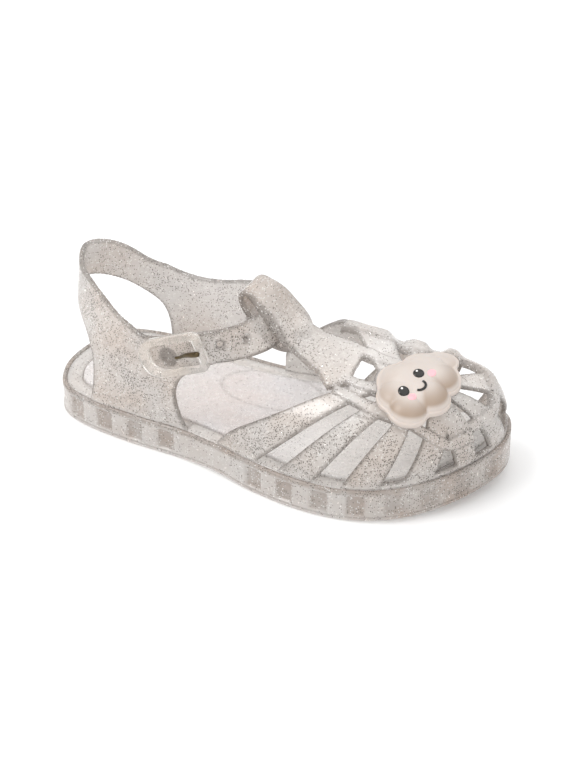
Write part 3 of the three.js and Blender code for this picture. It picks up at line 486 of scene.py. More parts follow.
# Columns: x and y at that height, lower and upper edge, and lean of the wall in x and in y
ANKLE = [
    (5.4, 0, 45.5, 59.3, 0.06, 0), (10.8, -12, 45.2, 58, 0.1, 0.05), (18.8, -18.3, 40.2, 55.2, 0.1, 0.15),
    (26, -21.8, 38, 52.8, 0.05, 0.15), (36, -25, 35, 47.8, 0, 0.09), (46, -28, 33, 44.8, 0, 0.03),
    (57, -29.3, 35.5, 48.5, 0, 0), (68, -28.9, 40.5, 53, 0, 0.04), (77.5, -24, 42, 54, -0.2, 0.15),
    (84, -15, 42.5, 54, -0.5, 0.1), (86.3, -5, 43, 54.5, -0.62, 0), (84.8, 5, 44.5, 55.5, -0.6, 0),
    (78.5, 13, 46.6, 55, -0.35, -0.15), (68, 17.8, 43, 50.5, -0.1, -0.15), (57, 20.5, 35.5, 45, 0, -0.12),
    (46, 22, 31, 42, 0, -0.1), (36, 21, 30, 42.8, 0, -0.13), (26, 17.6, 33.3, 48.2, 0.05, -0.18),
    (15.4, 13.2, 40.6, 55.5, 0.14, -0.1), (7.8, 7.4, 44, 59, 0.14, -0.05),
]
# Columns: height, rear edge and front edge of the quarter
OUTER_QUARTER = np.array([
    (9, 21.5, 65), (13, 22, 62.5), (19, 22.8, 59.5), (25, 22.6, 58.2), (30, 21.6, 59), (34, 20, 61.5),
    (38, 17, 66), (43, 10, 74),
])
INNER_QUARTER = np.array([
    (9, 27.5, 59), (13, 27.8, 59), (21, 28, 60.2), (27, 27, 61.2), (32, 24.6, 62.2), (36, 21.5, 64),
    (40, 17, 67), (45, 8, 75),
])
QUARTER_TOP, CREASE = 46.0, 5.0
# Spare holes of the strap, in front of the buckle
STRAP_HOLES, STRAP_HOLE_RADIUS = np.array([(74.8, -26, 48.6), (82, -19.3, 49)]), 1.2
# The buckle's own frame on the strap, and a shallow oval hollow in the strap under its rear half
BUCKLE_X, BUCKLE_Z, BUCKLE_BACK, BUCKLE_SLOPE = 59.3, 43.2, -30.7, math.radians(23)
HOLLOW_U, HOLLOW_V, HOLLOW_ALONG, HOLLOW_ACROSS, HOLLOW_DEPTH = -3.6, -1.2, 4.2, 4.0, 0.5
RING_STEPS, RISE_STEPS = 400, 90
ANKLE_BOTTOM, ANKLE_TOP = 10.4, 61.4


def hollow_share(places):
    """1 inside the oval hollow under the buckle, 0 outside it."""
    c, s = math.cos(BUCKLE_SLOPE), math.sin(BUCKLE_SLOPE)
    u = (places[..., 0] - BUCKLE_X) * c + (places[..., 2] - BUCKLE_Z) * s
    v = (places[..., 2] - BUCKLE_Z) * c - (places[..., 0] - BUCKLE_X) * s
    radius = np.hypot((u - HOLLOW_U) / HOLLOW_ALONG, (v - HOLLOW_V) / HOLLOW_ACROSS)
    return (1 - smooth(radius, 0.85, 1.05)) * (places[..., 1] < -20)


def ankle_wall():
    rows = spline(ANKLE, np.arange(RING_STEPS) / RING_STEPS * len(ANKLE), True)
    z = np.linspace(ANKLE_BOTTOM, ANKLE_TOP, RISE_STEPS + 1)
    rise = z[None, :] - ANKLE_HEIGHT
    x = rows[:, 0, None] + rows[:, 4, None] * rise
    y = rows[:, 1, None] + rows[:, 5, None] * rise
    places = np.stack([x, y, z[None, :] + 0 * x], -1)
    padded = np.concatenate([places[-1:], places, places[:1]])
    normals = grid_normals(padded)[1:-1]
    outward = (normals[..., 0] * (x - 45) / 45 + normals[..., 1] * y / 20).mean()
    normals = normals if outward > 0 else -normals
    band = np.minimum(z[None, :] - rows[:, 2, None], rows[:, 3, None] - z[None, :])
    rear = x - np.where(y < 0, soft_table(OUTER_QUARTER, 1, z), soft_table(INNER_QUARTER, 1, z))
    front = np.where(y < 0, soft_table(OUTER_QUARTER, 2, z), soft_table(INNER_QUARTER, 2, z)) - x
    top = np.minimum(QUARTER_TOP, rows[:, 3, None]) - z[None, :]
    quarter = np.minimum(np.minimum(rear, front), top)
    blend = np.maximum(CREASE - np.abs(band - quarter), 0) / CREASE
    mask = np.maximum(band, quarter) + blend * blend * CREASE / 4
    for hole in STRAP_HOLES:
        mask = np.minimum(mask, np.linalg.norm(places - hole, axis=2) - STRAP_HOLE_RADIUS)
    index = np.arange(mask.size).reshape(mask.shape)
    out = WALL / 2 - HOLLOW_DEPTH * hollow_share(places)
    return wall(places, normals, mask, out, np.vstack([index, index[:1]]))


ankle = make_mesh("ankle", *ankle_wall())
print("ankle ring", len(ankle.data.polygons), "faces,", open_edges(ankle), "open edges")

# %% [markdown]
# ## Fold of the T bar
# The T bar goes over the strap, turns down behind it and comes back under it, so the strap slides through.

# %% Fold
# Columns: x, z of the middle of its wall, and half width
FOLD = [
    (84, 53.4, 8.5), (80.9, 57.5, 8), (78.9, 59.6, 7.6), (76, 60.2, 7.2), (74.2, 58.4, 7), (74.9, 55.2, 7),
    (77.4, 51.2, 7), (80.8, 46.4, 7), (85.2, 42, 7), (91, 40.8, 6.5), (96, 42, 6),
]
FOLD_STEPS, FOLD_ROWS, FOLD_EDGE = 80, 32, 10.0


def fold_wall():
    rows = spline(FOLD, np.linspace(0, len(FOLD) - 1, FOLD_STEPS + 1))
    across = np.linspace(-FOLD_EDGE, FOLD_EDGE, FOLD_ROWS + 1)
    x, y = np.meshgrid(rows[:, 0], across + RIDGE[0, 1], indexing="ij")
    z = rows[:, 1, None] + 0 * x
    places = np.stack([x, y, z], -1)
    normals = grid_normals(places)
    mask = rows[:, 2, None] - np.abs(across)[None, :]
    steps = np.arange(FOLD_STEPS + 1)
    ends = np.minimum(steps, FOLD_STEPS - steps) * 0.7 + 0.05
    mask = np.minimum(mask, ends[:, None])
    index = np.arange(mask.size).reshape(mask.shape)
    return wall(places, normals, mask, np.full(mask.shape, WALL / 2), index)


fold = make_mesh("fold", *fold_wall())
print("fold", len(fold.data.polygons), "faces,", open_edges(fold), "open edges")

# %% [markdown]
# ## Rings round the sole
# The sole, the welt and the insole are lofts: rings that follow the outline, each with its own inset
# and height. The top and bottom are closed by a lid of columns that run from the outer to the inner edge.

# %% Loft along the outline


def even_stations(curve, count):
    """Equal numbers of points on the outer and on the inner edge, from heel tip to toe tip."""
    made = []
    for half in halves(curve):
        length = run_length(half)
        goal = np.linspace(0, length[-1], count + 1)
        made.append(np.column_stack([np.interp(goal, length, half[:, axis]) for axis in (0, 1)]))
    return np.vstack([made[0], made[1][-2:0:-1]])


def loft(loop, rings, lid_columns, lids=(None, None)):
    """Closed solid of rings (inset array, height function), with lids whose height can be a function."""
    count = len(loop)
    last = count // 2
    inward = inset(loop, 1) - loop
    vertices, faces = [], []
    for shift, height in rings:
        plan = loop + inward * (np.zeros(count) + shift)[:, None]
        vertices.extend(np.column_stack([plan, height(plan[:, 0], plan[:, 1])]).tolist())
    for r in range(1, len(rings)):
        for i in range(count):
            j = (i + 1) % count
            a, b = (r - 1) * count, r * count
            faces.append([a + i, b + i, b + j, a + j])
    for start, ring, lid in ((0, rings[0], lids[0]), ((len(rings) - 1) * count, rings[-1], lids[1])):
        height = lid or ring[1]
        columns = []
        for i in range(last + 1):
            outer, inner = start + i, start + (count - i) % count
            row = [outer]
            if inner != outer and i != last:
                p, q = np.array(vertices[outer]), np.array(vertices[inner])
                for c in range(1, lid_columns):
                    spot = p + (q - p) * c / lid_columns
                    spot[2] = height(spot[0:1], spot[1:2])[0]
                    row.append(len(vertices))
                    vertices.append(spot.tolist())
                row.append(inner)
            columns.append(row)
        for i in range(last):
            a, b = columns[i], columns[i + 1]
            if len(a) == 1:
                faces.extend([[a[0], b[c], b[c + 1]] for c in range(len(b) - 1)])
            elif len(b) == 1:
                faces.extend([[b[0], a[c + 1], a[c]] for c in range(len(a) - 1)])
            else:
                faces.extend([[a[c], b[c], b[c + 1], a[c + 1]] for c in range(len(a) - 1)])
    return vertices, faces


def swept(rings):
    """Closed solid through rings of points, the last one joined to the first."""
    count = len(rings[0])
    faces = []
    for r in range(len(rings)):
        a, b = r * count, (r + 1) % len(rings) * count
        faces.extend([[a + i, a + (i + 1) % count, b + (i + 1) % count, b + i] for i in range(count)])
    return np.vstack(rings), faces


def step_floor(x):
    """Height of the step inside the sole's lip, with its clearance."""
    return rim(x) - LIP_DEPTH + FIT_GAP


print("step inside the lip at", round(float(step_floor(0)), 1), "mm")

# %% [markdown]
# ## Welt and the joined upper
# A flat band lies in the step of the sole and joins the feet of the bars and quarters. The walls are cut
# off where the sole begins, and joined with this welt into one solid.

# %% Welt and the joined upper
LOOP_HALF = 200
# How far the welt and the insole reach into their clearance, and the rounding of the welt's upper edges
SNUG, WELT_ROUND = 0.1, 0.4
# How far the room for the walls stays clear of the sole, how far out it goes, and how high
ROOM_SPARE, ROOM_OUT, ROOM_TOP = 0.15, 12.0, 90.0


def welt_piece():
    outer = even_stations(inset(edge, LIP + SNUG), LOOP_HALF)
    inner = inset(outer, WELT_WIDTH + 2 * (FIT_GAP - SNUG))
    low = WELT_HEIGHT - WELT_ROUND
    rings = []
    for plan, height in (
        (outer, 0.0), (inner, 0.0), (inner, low), (inset(inner, -WELT_ROUND), WELT_HEIGHT),
        (inset(outer, WELT_ROUND), WELT_HEIGHT), (outer, low),
    ):
        rings.append(np.column_stack([plan, step_floor(plan[:, 0]) + height]))
    return make_mesh("welt", *swept(rings))


def room_piece():
    """Everything above the sole's lip and the step inside it: the walls stop there."""
    clear = LIP + FIT_GAP + ROOM_SPARE
    return make_mesh("room", *loft(even_stations(edge, LOOP_HALF), [
        (clear, lambda x, y: step_floor(x) + ROOM_SPARE), (clear, lambda x, y: rim(x) + FIT_GAP),
        (-ROOM_OUT, lambda x, y: rim(x) + FIT_GAP), (-ROOM_OUT, lambda x, y: ROOM_TOP + 0 * x),
    ], 12))


def join(target, other, operation):
    """Boolean of two closed pieces, kept as a plain mesh."""
    cut = target.modifiers.new("cut", "BOOLEAN")
    cut.operation = operation
    cut.solver = "MANIFOLD"
    cut.object = other
    graph = bpy.context.evaluated_depsgraph_get()
    mesh = bpy.data.meshes.new_from_object(target.evaluated_get(graph))
    target.modifiers.clear()
    old = target.data
    target.data = mesh
    bpy.data.meshes.remove(old)
    bpy.data.objects.remove(other)
    return target


upper = join(cage, ankle, "UNION")
upper = join(upper, fold, "UNION")
upper = join(upper, room_piece(), "INTERSECT")
upper = join(upper, welt_piece(), "UNION")
upper.name = "upper_moulding"
upper.data.name = "upper_moulding"
upper.data.shade_smooth()
print("upper", len(upper.data.polygons), "faces,", open_edges(upper), "open edges")

# %% [markdown]
# ## Finishes
# The plastic is clear and a little milky, so each wall lets some light through. Two effects are shared by
# its finishes: the cloudy tint of the plastic, and the glitter in it, with dark specks that are painted
# reflections and bright specks that are painted glints.
# Both are node groups on object coordinates, so they stay with the piece from any side.

# %% Node helpers
FLOAT, COLOR = "NodeSocketFloat", "NodeSocketColor"


def fill(tree, node, inputs):
    """Fills a node's inputs with values or links."""
    for key, value in inputs.items():
        if isinstance(value, bpy.types.NodeSocket):
            tree.links.new(value, node.inputs[key])
        else:
            node.inputs[key].default_value = value
    return node


def wire(tree, kind, inputs={}, **settings):
    """Adds a node, sets its options and fills its inputs."""
    made = tree.nodes.new(kind)
    for key, value in settings.items():
        setattr(made, key, value)
    return fill(tree, made, inputs)


def math_node(tree, operation, a, b):
    return wire(tree, "ShaderNodeMath", {0: a, 1: b}, operation=operation).outputs[0]


def mix_color(tree, factor, a, b):
    return wire(tree, "ShaderNodeMix", {0: factor, 6: a, 7: b}, data_type="RGBA").outputs[2]


def map_range(tree, value, low, high, to_low=0.0, to_high=1.0):
    return wire(tree, "ShaderNodeMapRange", {0: value, 1: low, 2: high, 3: to_low, 4: to_high}).outputs[0]


def scale_for(tree, size):
    """Scale of a pattern whose cells have a size in millimetres."""
    return math_node(tree, "DIVIDE", 1 / MM, size)


def noise(tree, scale, detail=2.0, distortion=0.0, output="Fac"):
    where = wire(tree, "ShaderNodeTexCoord").outputs["Object"]
    inputs = {"Vector": where, "Scale": scale, "Detail": detail, "Distortion": distortion}
    return wire(tree, "ShaderNodeTexNoise", inputs).outputs[output]


def new_group(name, inputs, outputs):
    """A shader node group with named float or colour inputs and outputs."""
    tree = bpy.data.node_groups.new(name, "ShaderNodeTree")
    for label, kind, value in inputs:
        socket = tree.interface.new_socket(label, in_out="INPUT", socket_type=kind)
        socket.default_value = value
    for label, kind in outputs:
        tree.interface.new_socket(label, in_out="OUTPUT", socket_type=kind)
    return tree, tree.nodes.new("NodeGroupInput").outputs, tree.nodes.new("NodeGroupOutput").inputs


def new_material(name):
    """A material, its node tree and its Principled shader."""
    material = bpy.data.materials.new(name)
    material.use_nodes = True
    return material, material.node_tree, material.node_tree.nodes["Principled BSDF"]


print("node helpers ready")

# %% [markdown]
# ## Glitter specks
# Each cell of a Voronoi pattern holds at most one flake, drawn as a small disc. A slow noise decides where
# the flakes crowd together and where the plastic is almost clear, as they drift in the mould. The kept flakes
# are drawn dark, a painted reflection of dark surroundings, and a few others white, a painted glint.

# %% Glitter group
tree, given, result = new_group("glitter_specks", [
    ("Base", COLOR, (0.8, 0.76, 0.72, 1)), ("Dark Reflection", COLOR, (0.1, 0.085, 0.07, 1)),
    ("Spacing mm", FLOAT, 0.9), ("Flake mm", FLOAT, 0.36), ("Crowding", FLOAT, 0.5),
    ("Patch mm", FLOAT, 16.0), ("Sparkle", FLOAT, 0.25),
], [("Color", COLOR), ("Flakes", FLOAT)])
where = wire(tree, "ShaderNodeTexCoord").outputs["Object"]
cells = wire(tree, "ShaderNodeTexVoronoi", {
    "Vector": where, "Scale": scale_for(tree, given["Spacing mm"]), "Randomness": 1.0,
}, voronoi_dimensions="3D").outputs
distance_mm = math_node(tree, "MULTIPLY", cells["Distance"], given["Spacing mm"])
disc = math_node(tree, "LESS_THAN", distance_mm, math_node(tree, "MULTIPLY", given["Flake mm"], 0.5))
chance = wire(tree, "ShaderNodeSeparateColor", {0: cells["Color"]}).outputs
patch = map_range(tree, noise(tree, scale_for(tree, given["Patch mm"]), 1.5), 0.35, 0.58, 0.2, 1.0)
kept = math_node(tree, "LESS_THAN", chance[0], math_node(tree, "MULTIPLY", given["Crowding"], patch))
flakes = math_node(tree, "MULTIPLY", disc, kept)
# A few flakes that are not kept are drawn white: a painted glint
lucky = math_node(tree, "GREATER_THAN", chance[1], math_node(tree, "SUBTRACT", 1.0, given["Sparkle"]))
painted_glint = math_node(tree, "MULTIPLY", disc, lucky)
painted_glint = math_node(tree, "MULTIPLY", painted_glint, math_node(tree, "SUBTRACT", 1.0, kept))
# Kept flakes are drawn dark: a painted reflection of dark surroundings
shade = mix_color(tree, math_node(tree, "MULTIPLY", flakes, 0.9), given["Base"], given["Dark Reflection"])
shade = mix_color(tree, painted_glint, shade, (1.0, 0.99, 0.97, 1))
tree.links.new(shade, result["Color"])
tree.links.new(flakes, result["Flakes"])
glitter_group = tree
print("glitter group", len(tree.nodes), "nodes")

# %% [markdown]
# ## Cloudy tint
# Slow swirls make the plastic warmer here and cooler there, and fine darker streaks are painted shade
# standing in for light bent inside the clear plastic.

# %% Tint group
tree, given, result = new_group("cloudy_tint", [
    ("Warm", COLOR, (0.82, 0.76, 0.70, 1)), ("Cool", COLOR, (0.80, 0.79, 0.79, 1)),
    ("Patch mm", FLOAT, 22.0), ("Streak mm", FLOAT, 3.0), ("Streaks", FLOAT, 0.2),
], [("Color", COLOR), ("Height", FLOAT)])
slow = noise(tree, scale_for(tree, given["Patch mm"]))
fine = noise(tree, scale_for(tree, given["Streak mm"]), 3.0, 0.8)
tint = mix_color(tree, map_range(tree, slow, 0.38, 0.62), given["Warm"], given["Cool"])
# Darker streaks: painted shade for light bent inside the clear plastic
dim = math_node(tree, "MULTIPLY", map_range(tree, fine, 0.3, 0.7, 1.0, 0.0), given["Streaks"])
tint = mix_color(tree, dim, tint, (0.42, 0.38, 0.35, 1))
tree.links.new(tint, result["Color"])
tree.links.new(fine, result["Height"])
tint_group = tree
print("tint group", len(tree.nodes), "nodes")

# %% [markdown]
# ## Jelly plastic
# The upper, the sole and the insole carry a colour attribute named finish. Red is painted shade: a darker
# line along edges and steps, where the clear wall is seen edge on, and in hollows and grooves. Green is how
# closely the dark flakes crowd. Blue is how pale the plastic is. The plastic lets most of the light through,
# so its own shadow is weak.

# %% Jelly materials
# Colour and strength of the painted shade along edges, steps, hollows and grooves, and the pale tone
EDGE_SHADE_TONE, PALE_TONE = (0.20, 0.175, 0.155, 1), (0.86, 0.835, 0.815, 1)
EDGE_SHADE_SHARE, SHADOW_CLEAR, JELLY_IOR = 0.7, 0.8, 1.42
COAT, COAT_ROUGHNESS, BUMP_DISTANCE = 0.15, 0.08, 0.0004


def jelly(name, tint, glitter, clear, roughness, bump=0.15):
    """Clear plastic with glitter: tint and glitter give the groups' values, clear is the transmission."""
    material, tree, shader = new_material(name)
    base = wire(tree, "ShaderNodeGroup", tint, node_tree=tint_group).outputs
    finish = wire(tree, "ShaderNodeAttribute", attribute_name="finish").outputs["Color"]
    # Red is painted shade, green the crowding of the dark flakes, blue the paleness
    edges, crowd, pale = wire(tree, "ShaderNodeSeparateColor", {0: finish}).outputs
    toned = mix_color(tree, pale, base["Color"], PALE_TONE)
    toned = mix_color(tree, math_node(tree, "MULTIPLY", edges, EDGE_SHADE_SHARE), toned, EDGE_SHADE_TONE)
    values = {"Base": toned, "Crowding": crowd, **glitter}
    specks = wire(tree, "ShaderNodeGroup", values, node_tree=glitter_group).outputs
    height = math_node(tree, "ADD", base["Height"], math_node(tree, "MULTIPLY", specks["Flakes"], 0.4))
    bumped = wire(tree, "ShaderNodeBump", {"Strength": bump, "Distance": BUMP_DISTANCE, "Height": height})
    ray = wire(tree, "ShaderNodeLightPath").outputs["Is Shadow Ray"]
    fill(tree, shader, {
        "Base Color": specks["Color"], "Transmission Weight": clear, "IOR": JELLY_IOR,
        "Roughness": map_range(tree, base["Height"], 0.3, 0.7, roughness * 0.7, roughness * 1.4),
        "Normal": bumped.outputs[0], "Coat Weight": COAT, "Coat Roughness": COAT_ROUGHNESS,
        "Alpha": math_node(tree, "SUBTRACT", 1.0, math_node(tree, "MULTIPLY", ray, SHADOW_CLEAR)),
    })
    return material


upper_jelly = jelly(
    "upper_glitter_jelly",
    {"Warm": (0.74, 0.66, 0.60, 1), "Cool": (0.76, 0.725, 0.695, 1), "Streaks": 0.3, "Streak mm": 2.4},
    {"Patch mm": 3.5, "Sparkle": 0.25, "Spacing mm": 0.56, "Flake mm": 0.44}, 0.5, 0.2)
sole_jelly = jelly(
    "sole_glitter_jelly",
    {"Warm": (0.56, 0.47, 0.41, 1), "Cool": (0.68, 0.63, 0.59, 1), "Streaks": 0.45, "Patch mm": 10.0},
    {"Patch mm": 5.0, "Sparkle": 0.3, "Spacing mm": 0.6, "Flake mm": 0.42}, 0.4, 0.2)
insole_jelly = jelly(
    "insole_silver_jelly",
    {"Warm": (0.78, 0.72, 0.70, 1), "Cool": (0.76, 0.735, 0.735, 1), "Streaks": 0.1},
    {"Sparkle": 0.5, "Spacing mm": 0.7, "Flake mm": 0.4}, 0.2, 0.25)
clear_plastic = jelly(
    "buckle_clear_plastic",
    {"Warm": (0.93, 0.88, 0.82, 1), "Cool": (0.92, 0.89, 0.86, 1), "Streaks": 0.1},
    {"Sparkle": 0.0}, 0.8, 0.08, 0.05)
print("four plastics, each with", len(upper_jelly.node_tree.nodes), "nodes")

# %% [markdown]
# ## Where the finish changes
# Places in a moulding are given as soft blobs. The painted shade along the upper's edges and steps comes from
# the distances that its walls noted.

# %% Finish attribute
# Columns: middle of a blob along, across and up, its reach along, across and up, and its amount
FLAKE_CROWDS = [
    (42, -29, 30, 17, 12, 14, 1.0), (62, -28, 46, 24, 14, 11, 1.1), (20, -20, 48, 14, 10, 12, 0.9),
    (112, -38, 24, 45, 14, 10, 1.3), (158, -12, 20, 14, 24, 10, 1.1), (92, -10, 45, 10, 8, 9, 0.9),
    (36, 18, 42, 40, 12, 20, 0.35),
]
PALE_PLACES = [(126, 4, 42, 30, 22, 12, 0.8), (50, 24, 44, 50, 14, 24, 0.9), (112, -30, 38, 40, 10, 10, 0.4)]


def blobs(points, rows):
    """The strongest of the blobs at each point."""
    shares = []
    for row in rows:
        away = sum(((points[:, axis] - row[axis]) / row[3 + axis]) ** 2 for axis in range(3))
        shares.append(row[6] * np.exp(-away))
    return np.max(shares, axis=0)


def nearest(rows, points):
    """For each point, the number of the row that is closest to it."""
    tree = KDTree(len(rows))
    for i, row in enumerate(rows):
        tree.insert(row, i)
    tree.balance()
    return np.array([tree.find(point)[1] for point in points])


def model_points(piece):
    """Points of a piece in the model's millimetres."""
    points = np.empty(len(piece.data.vertices) * 3)
    piece.data.vertices.foreach_get("co", points)
    return points.reshape(-1, 3) / MM - SHIFT


def color_points(piece, name, *amounts):
    """Keeps up to three amounts for each point of a piece in a colour attribute."""
    values = np.ones((len(piece.data.vertices), 4))
    for channel, amount in enumerate(amounts):
        values[:, channel] = np.clip(amount, 0, 1)
    layer = piece.data.color_attributes.new(name, "FLOAT_COLOR", "POINT")
    layer.data.foreach_set("color", values.astype(np.float32).ravel())


def upper_finish_and_shade():
    points = model_points(upper)
    noted = np.array(marks)
    found = noted[nearest(noted[:, :3], points)]
    # Painted shade: a darker line along the walls' edges and steps, away from the sole
    line = np.maximum(1 - smooth(found[:, 3], 0.5, 1.4), 0.7 * (1 - smooth(found[:, 4], 0.2, 0.9)))
    low = 1 - smooth(points[:, 2] - rim(points[:, 0]), 0.2, 2.0)
    # The hollow under the buckle gets painted shade and crowded dark specks
    hollow = hollow_share(points)
    crowd = np.maximum(0.22 + blobs(points, FLAKE_CROWDS), hollow)
    pale = np.maximum(blobs(points, PALE_PLACES), 0.5 * low) * (1 - hollow)
    color_points(upper, "finish", np.maximum(0.85 * line * (1 - low), hollow), crowd, pale)


upper_finish_and_shade()
print("upper finish set from", len(marks), "noted places")

# %% [markdown]
# ## Upper
# The moulded wall stands for the CAD upper.

# %% Dress the upper
upper.data.materials.clear()
upper.data.materials.append(upper_jelly)
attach(upper, "root")
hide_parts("upper")

# %% [markdown]
# ## Sole
# Its side has blocks with shallow recesses between them, a thin lip above and a narrow groove below.
# The blocks stop at the waist, which stays plain. Underneath is a fine wavy tread.

# %% Sole
RIB_DEPTH, RIB_PITCH = 1.0, 13.0
# The waist is plain between these places along the shoe
PLAIN_FROM, PLAIN_TO = 61.0, 86.0
TREAD_PITCH, TREAD_WAVE, TREAD_SWAY, TREAD_DEPTH, TREAD_MARGIN = 5.0, 14.0, 1.3, 0.7, 5.0
# Columns: inset in mm, share of the recess's depth, share of the side's height, and mm above that
SIDE_RINGS = [
    (LIP, 0, 1, -LIP_DEPTH), (LIP, 0, 1, -0.3), (LIP - 0.2, 0, 1, -0.06), (LIP - 0.45, 0, 1, 0),
    (0.45, 0, 1, 0), (0.14, 0, 1, -0.14), (0, 0, 1, -0.5), (0, 0, 0.86, 0), (0, 0.15, 0.835, 0),
    (0, 0.85, 0.8, 0), (0, 1, 0.77, 0), (0, 1, 0.62, 0), (0, 1, 0.5, 0), (0, 1, 0.38, 0), (0, 1, 0.22, 0),
    (0, 0.85, 0.19, 0), (0, 0.15, 0.165, 0), (0, 0, 0.145, 0), (0.3, 0, 0.12, 0), (0.3, 0, 0.095, 0),
    (0, 0, 0.075, 0), (0, 0, 0.045, 0), (0.15, 0, 0.015, 0), (0.5, 0, 0, 0),
]


def side_recess(loop):
    """Depth of the side's recesses at each point of the loop."""
    count = len(loop)
    depth = np.zeros(count)
    outer_points = np.arange(count // 2 + 1)
    inner_points = np.concatenate([[0], np.arange(count - 1, count // 2 - 1, -1)])
    for points in (outer_points, inner_points):
        length = run_length(loop[points])
        ribs = round(length[-1] / RIB_PITCH)
        phase = (length / length[-1] * ribs) % 1.0
        depth[points] = smooth(phase, 0.03, 0.1) * (1 - smooth(phase, 0.5, 0.57))
    plain = smooth(loop[:, 0], PLAIN_FROM - 1, PLAIN_FROM) * (1 - smooth(loop[:, 0], PLAIN_TO, PLAIN_TO + 1))
    return RIB_DEPTH * depth * (1 - plain)


def tread(x, y):
    """Underside with wavy grooves, plain near the edge."""
    wavy = x + TREAD_SWAY * np.sin(2 * np.pi * y / TREAD_WAVE)
    groove = smooth(np.sin(2 * np.pi * wavy / TREAD_PITCH), 0.0, 0.75)
    near = np.sqrt(((tread_edge - np.array([x[0], y[0]])) ** 2).sum(1).min())
    return underside(x) + TREAD_DEPTH * groove * smooth(near, TREAD_MARGIN, TREAD_MARGIN + 1.5)


def on_side(share, lift):
    """Height function for a share of the way from the underside to the rim."""
    return lambda x, y: underside(x) + (rim(x) - underside(x)) * share + lift


sole_loop = even_stations(edge, 280)
tread_edge = sole_loop[::3]
recess = side_recess(sole_loop)
side = [(recess * deep + inward, on_side(share, lift)) for inward, deep, share, lift in SIDE_RINGS]
sole = make_mesh("sole_moulding", *loft(sole_loop, side, 48, (None, tread)))
sole.data.materials.append(sole_jelly)


# Painted shade darkens the side's recesses and its groove, and the side is darker towards the top rim
def sole_finish_and_shade():
    points = model_points(sole)
    plan = np.column_stack([points[:, :2], 0 * points[:, 0]])
    outline = np.column_stack([sole_loop, 0 * recess])
    at_loop = nearest(outline, plan)
    from_edge = np.hypot(*(plan - outline[at_loop])[:, :2].T)
    share = (points[:, 2] - underside(points[:, 0])) / (rim(points[:, 0]) - underside(points[:, 0]))
    side_face = from_edge < 1.4
    # Painted shade in the recesses between the blocks
    hollow = recess[at_loop] / RIB_DEPTH * side_face
    hollow = hollow * smooth(share, 0.14, 0.22) * (1 - smooth(share, 0.77, 0.84))
    # Painted shade in the groove near the bottom
    line = (1 - smooth(np.abs(share - 0.107), 0.015, 0.04)) * side_face
    top = smooth(share, 0.84, 0.9)
    toe = smooth(points[:, 0], 120, 160)
    pale = 0.5 * (1 - toe) * (1 - hollow) * (1 - top)
    edges = np.maximum(np.maximum(0.24 * hollow, 0.35 * line), 0.3 * top)
    color_points(sole, "finish", edges, 0.25 + 0.75 * top + 0.3 * toe, pale)


sole_finish_and_shade()
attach(sole, "root")
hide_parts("sole")
print("sole", len(sole.data.polygons), "faces,", open_edges(sole), "open edges")

# %% [markdown]
# ## Insole
# A thin dished footbed with a rounded edge. A shallow oval line is moulded under the arch of the foot.

# %% Insole
INSOLE_THICK, INSOLE_DISH = 2.6, 0.7
OVAL_X, OVAL_Y, OVAL_ALONG, OVAL_ACROSS = 79.0, 7.0, 20.0, 11.5
LINE_DEPTH, LINE_HALF = 0.3, 0.45
insole_edge = inset(edge, LIP + FIT_GAP + WELT_WIDTH + FIT_GAP)
insole_wall = inset(edge, LIP + FIT_GAP + WELT_WIDTH + 2 * FIT_GAP - SNUG)


def side_at(curve, x):
    """Outer and inner edge of a closed curve at a place along the shoe."""
    return [np.interp(x, half[:, 0], half[:, 1]) for half in halves(curve)]


def oval_line(x, y, full, gone):
    """1 on the oval line, fading between two distances from it."""
    radius = np.hypot((x - OVAL_X) / OVAL_ALONG, (y - OVAL_Y) / OVAL_ACROSS)
    return 1 - smooth(np.abs(radius - 1) * OVAL_ACROSS, full, gone)


def dish(x, y):
    low, high = side_at(insole_edge, np.clip(x, 9, LENGTH - 10))
    hollow = np.sin(np.pi * np.clip((y - low) / (high - low), 0, 1))
    line = oval_line(x, y, LINE_HALF * 0.3, LINE_HALF)
    return step_floor(x) + INSOLE_THICK - INSOLE_DISH * hollow - LINE_DEPTH * line


insole_loop = even_stations(insole_wall, 240)
insole = make_mesh("insole_moulding", *loft(insole_loop, [
    (0.9, dish), (0.45, lambda x, y: dish(x, y) - 0.12), (0.15, lambda x, y: dish(x, y) - 0.4),
    (0.0, lambda x, y: dish(x, y) - 0.8),
    (0.0, lambda x, y: step_floor(x) + 0.3), (0.2, lambda x, y: step_floor(x)),
], 90))
insole.data.materials.append(insole_jelly)


def insole_finish_and_shade():
    points = model_points(insole)
    low, high = side_at(insole_wall, points[:, 0])
    # Painted shade along the rounded edge and in the oval line
    rounded_edge_shade = 1 - smooth(np.minimum(points[:, 1] - low, high - points[:, 1]), 0.5, 1.6)
    line = oval_line(points[:, 0], points[:, 1], 0.1, 0.9)
    heel = 1 - smooth(points[:, 0], 40, 75)
    # Paler towards the toe: painted light under the cage, with a few more flakes
    front = smooth(points[:, 0], 85, 110)
    color_points(insole, "finish", 0.3 * line + 0.2 * rounded_edge_shade, 0.12 + 0.1 * front, 0.4 * heel + front)


insole_finish_and_shade()
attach(insole, "root")
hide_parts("insole")
print("insole", len(insole.data.polygons), "faces,", open_edges(insole), "open edges")

# %% [markdown]
# ## Buckle
# The frame is a clear moulding: a wide round end towards the heel, straight sides, and a bar in front.
# Its rounded section lies between an outer and an inner outline, in the buckle's own frame, and the whole
# is then set on the strap.

# %% Buckle frame
BUCKLE_LENGTH, BUCKLE_HEIGHT, BUCKLE_DEPTH = 26.6, 15.0, 3.2
BAR_SIDE, BAR_REAR = 2.6, 3.6
# Radii of the corners towards the heel and towards the toe, of the outer and of the inner outline
OUTER_CORNERS, INNER_CORNERS = (6.8, 2.6), (4.4, 1.0)
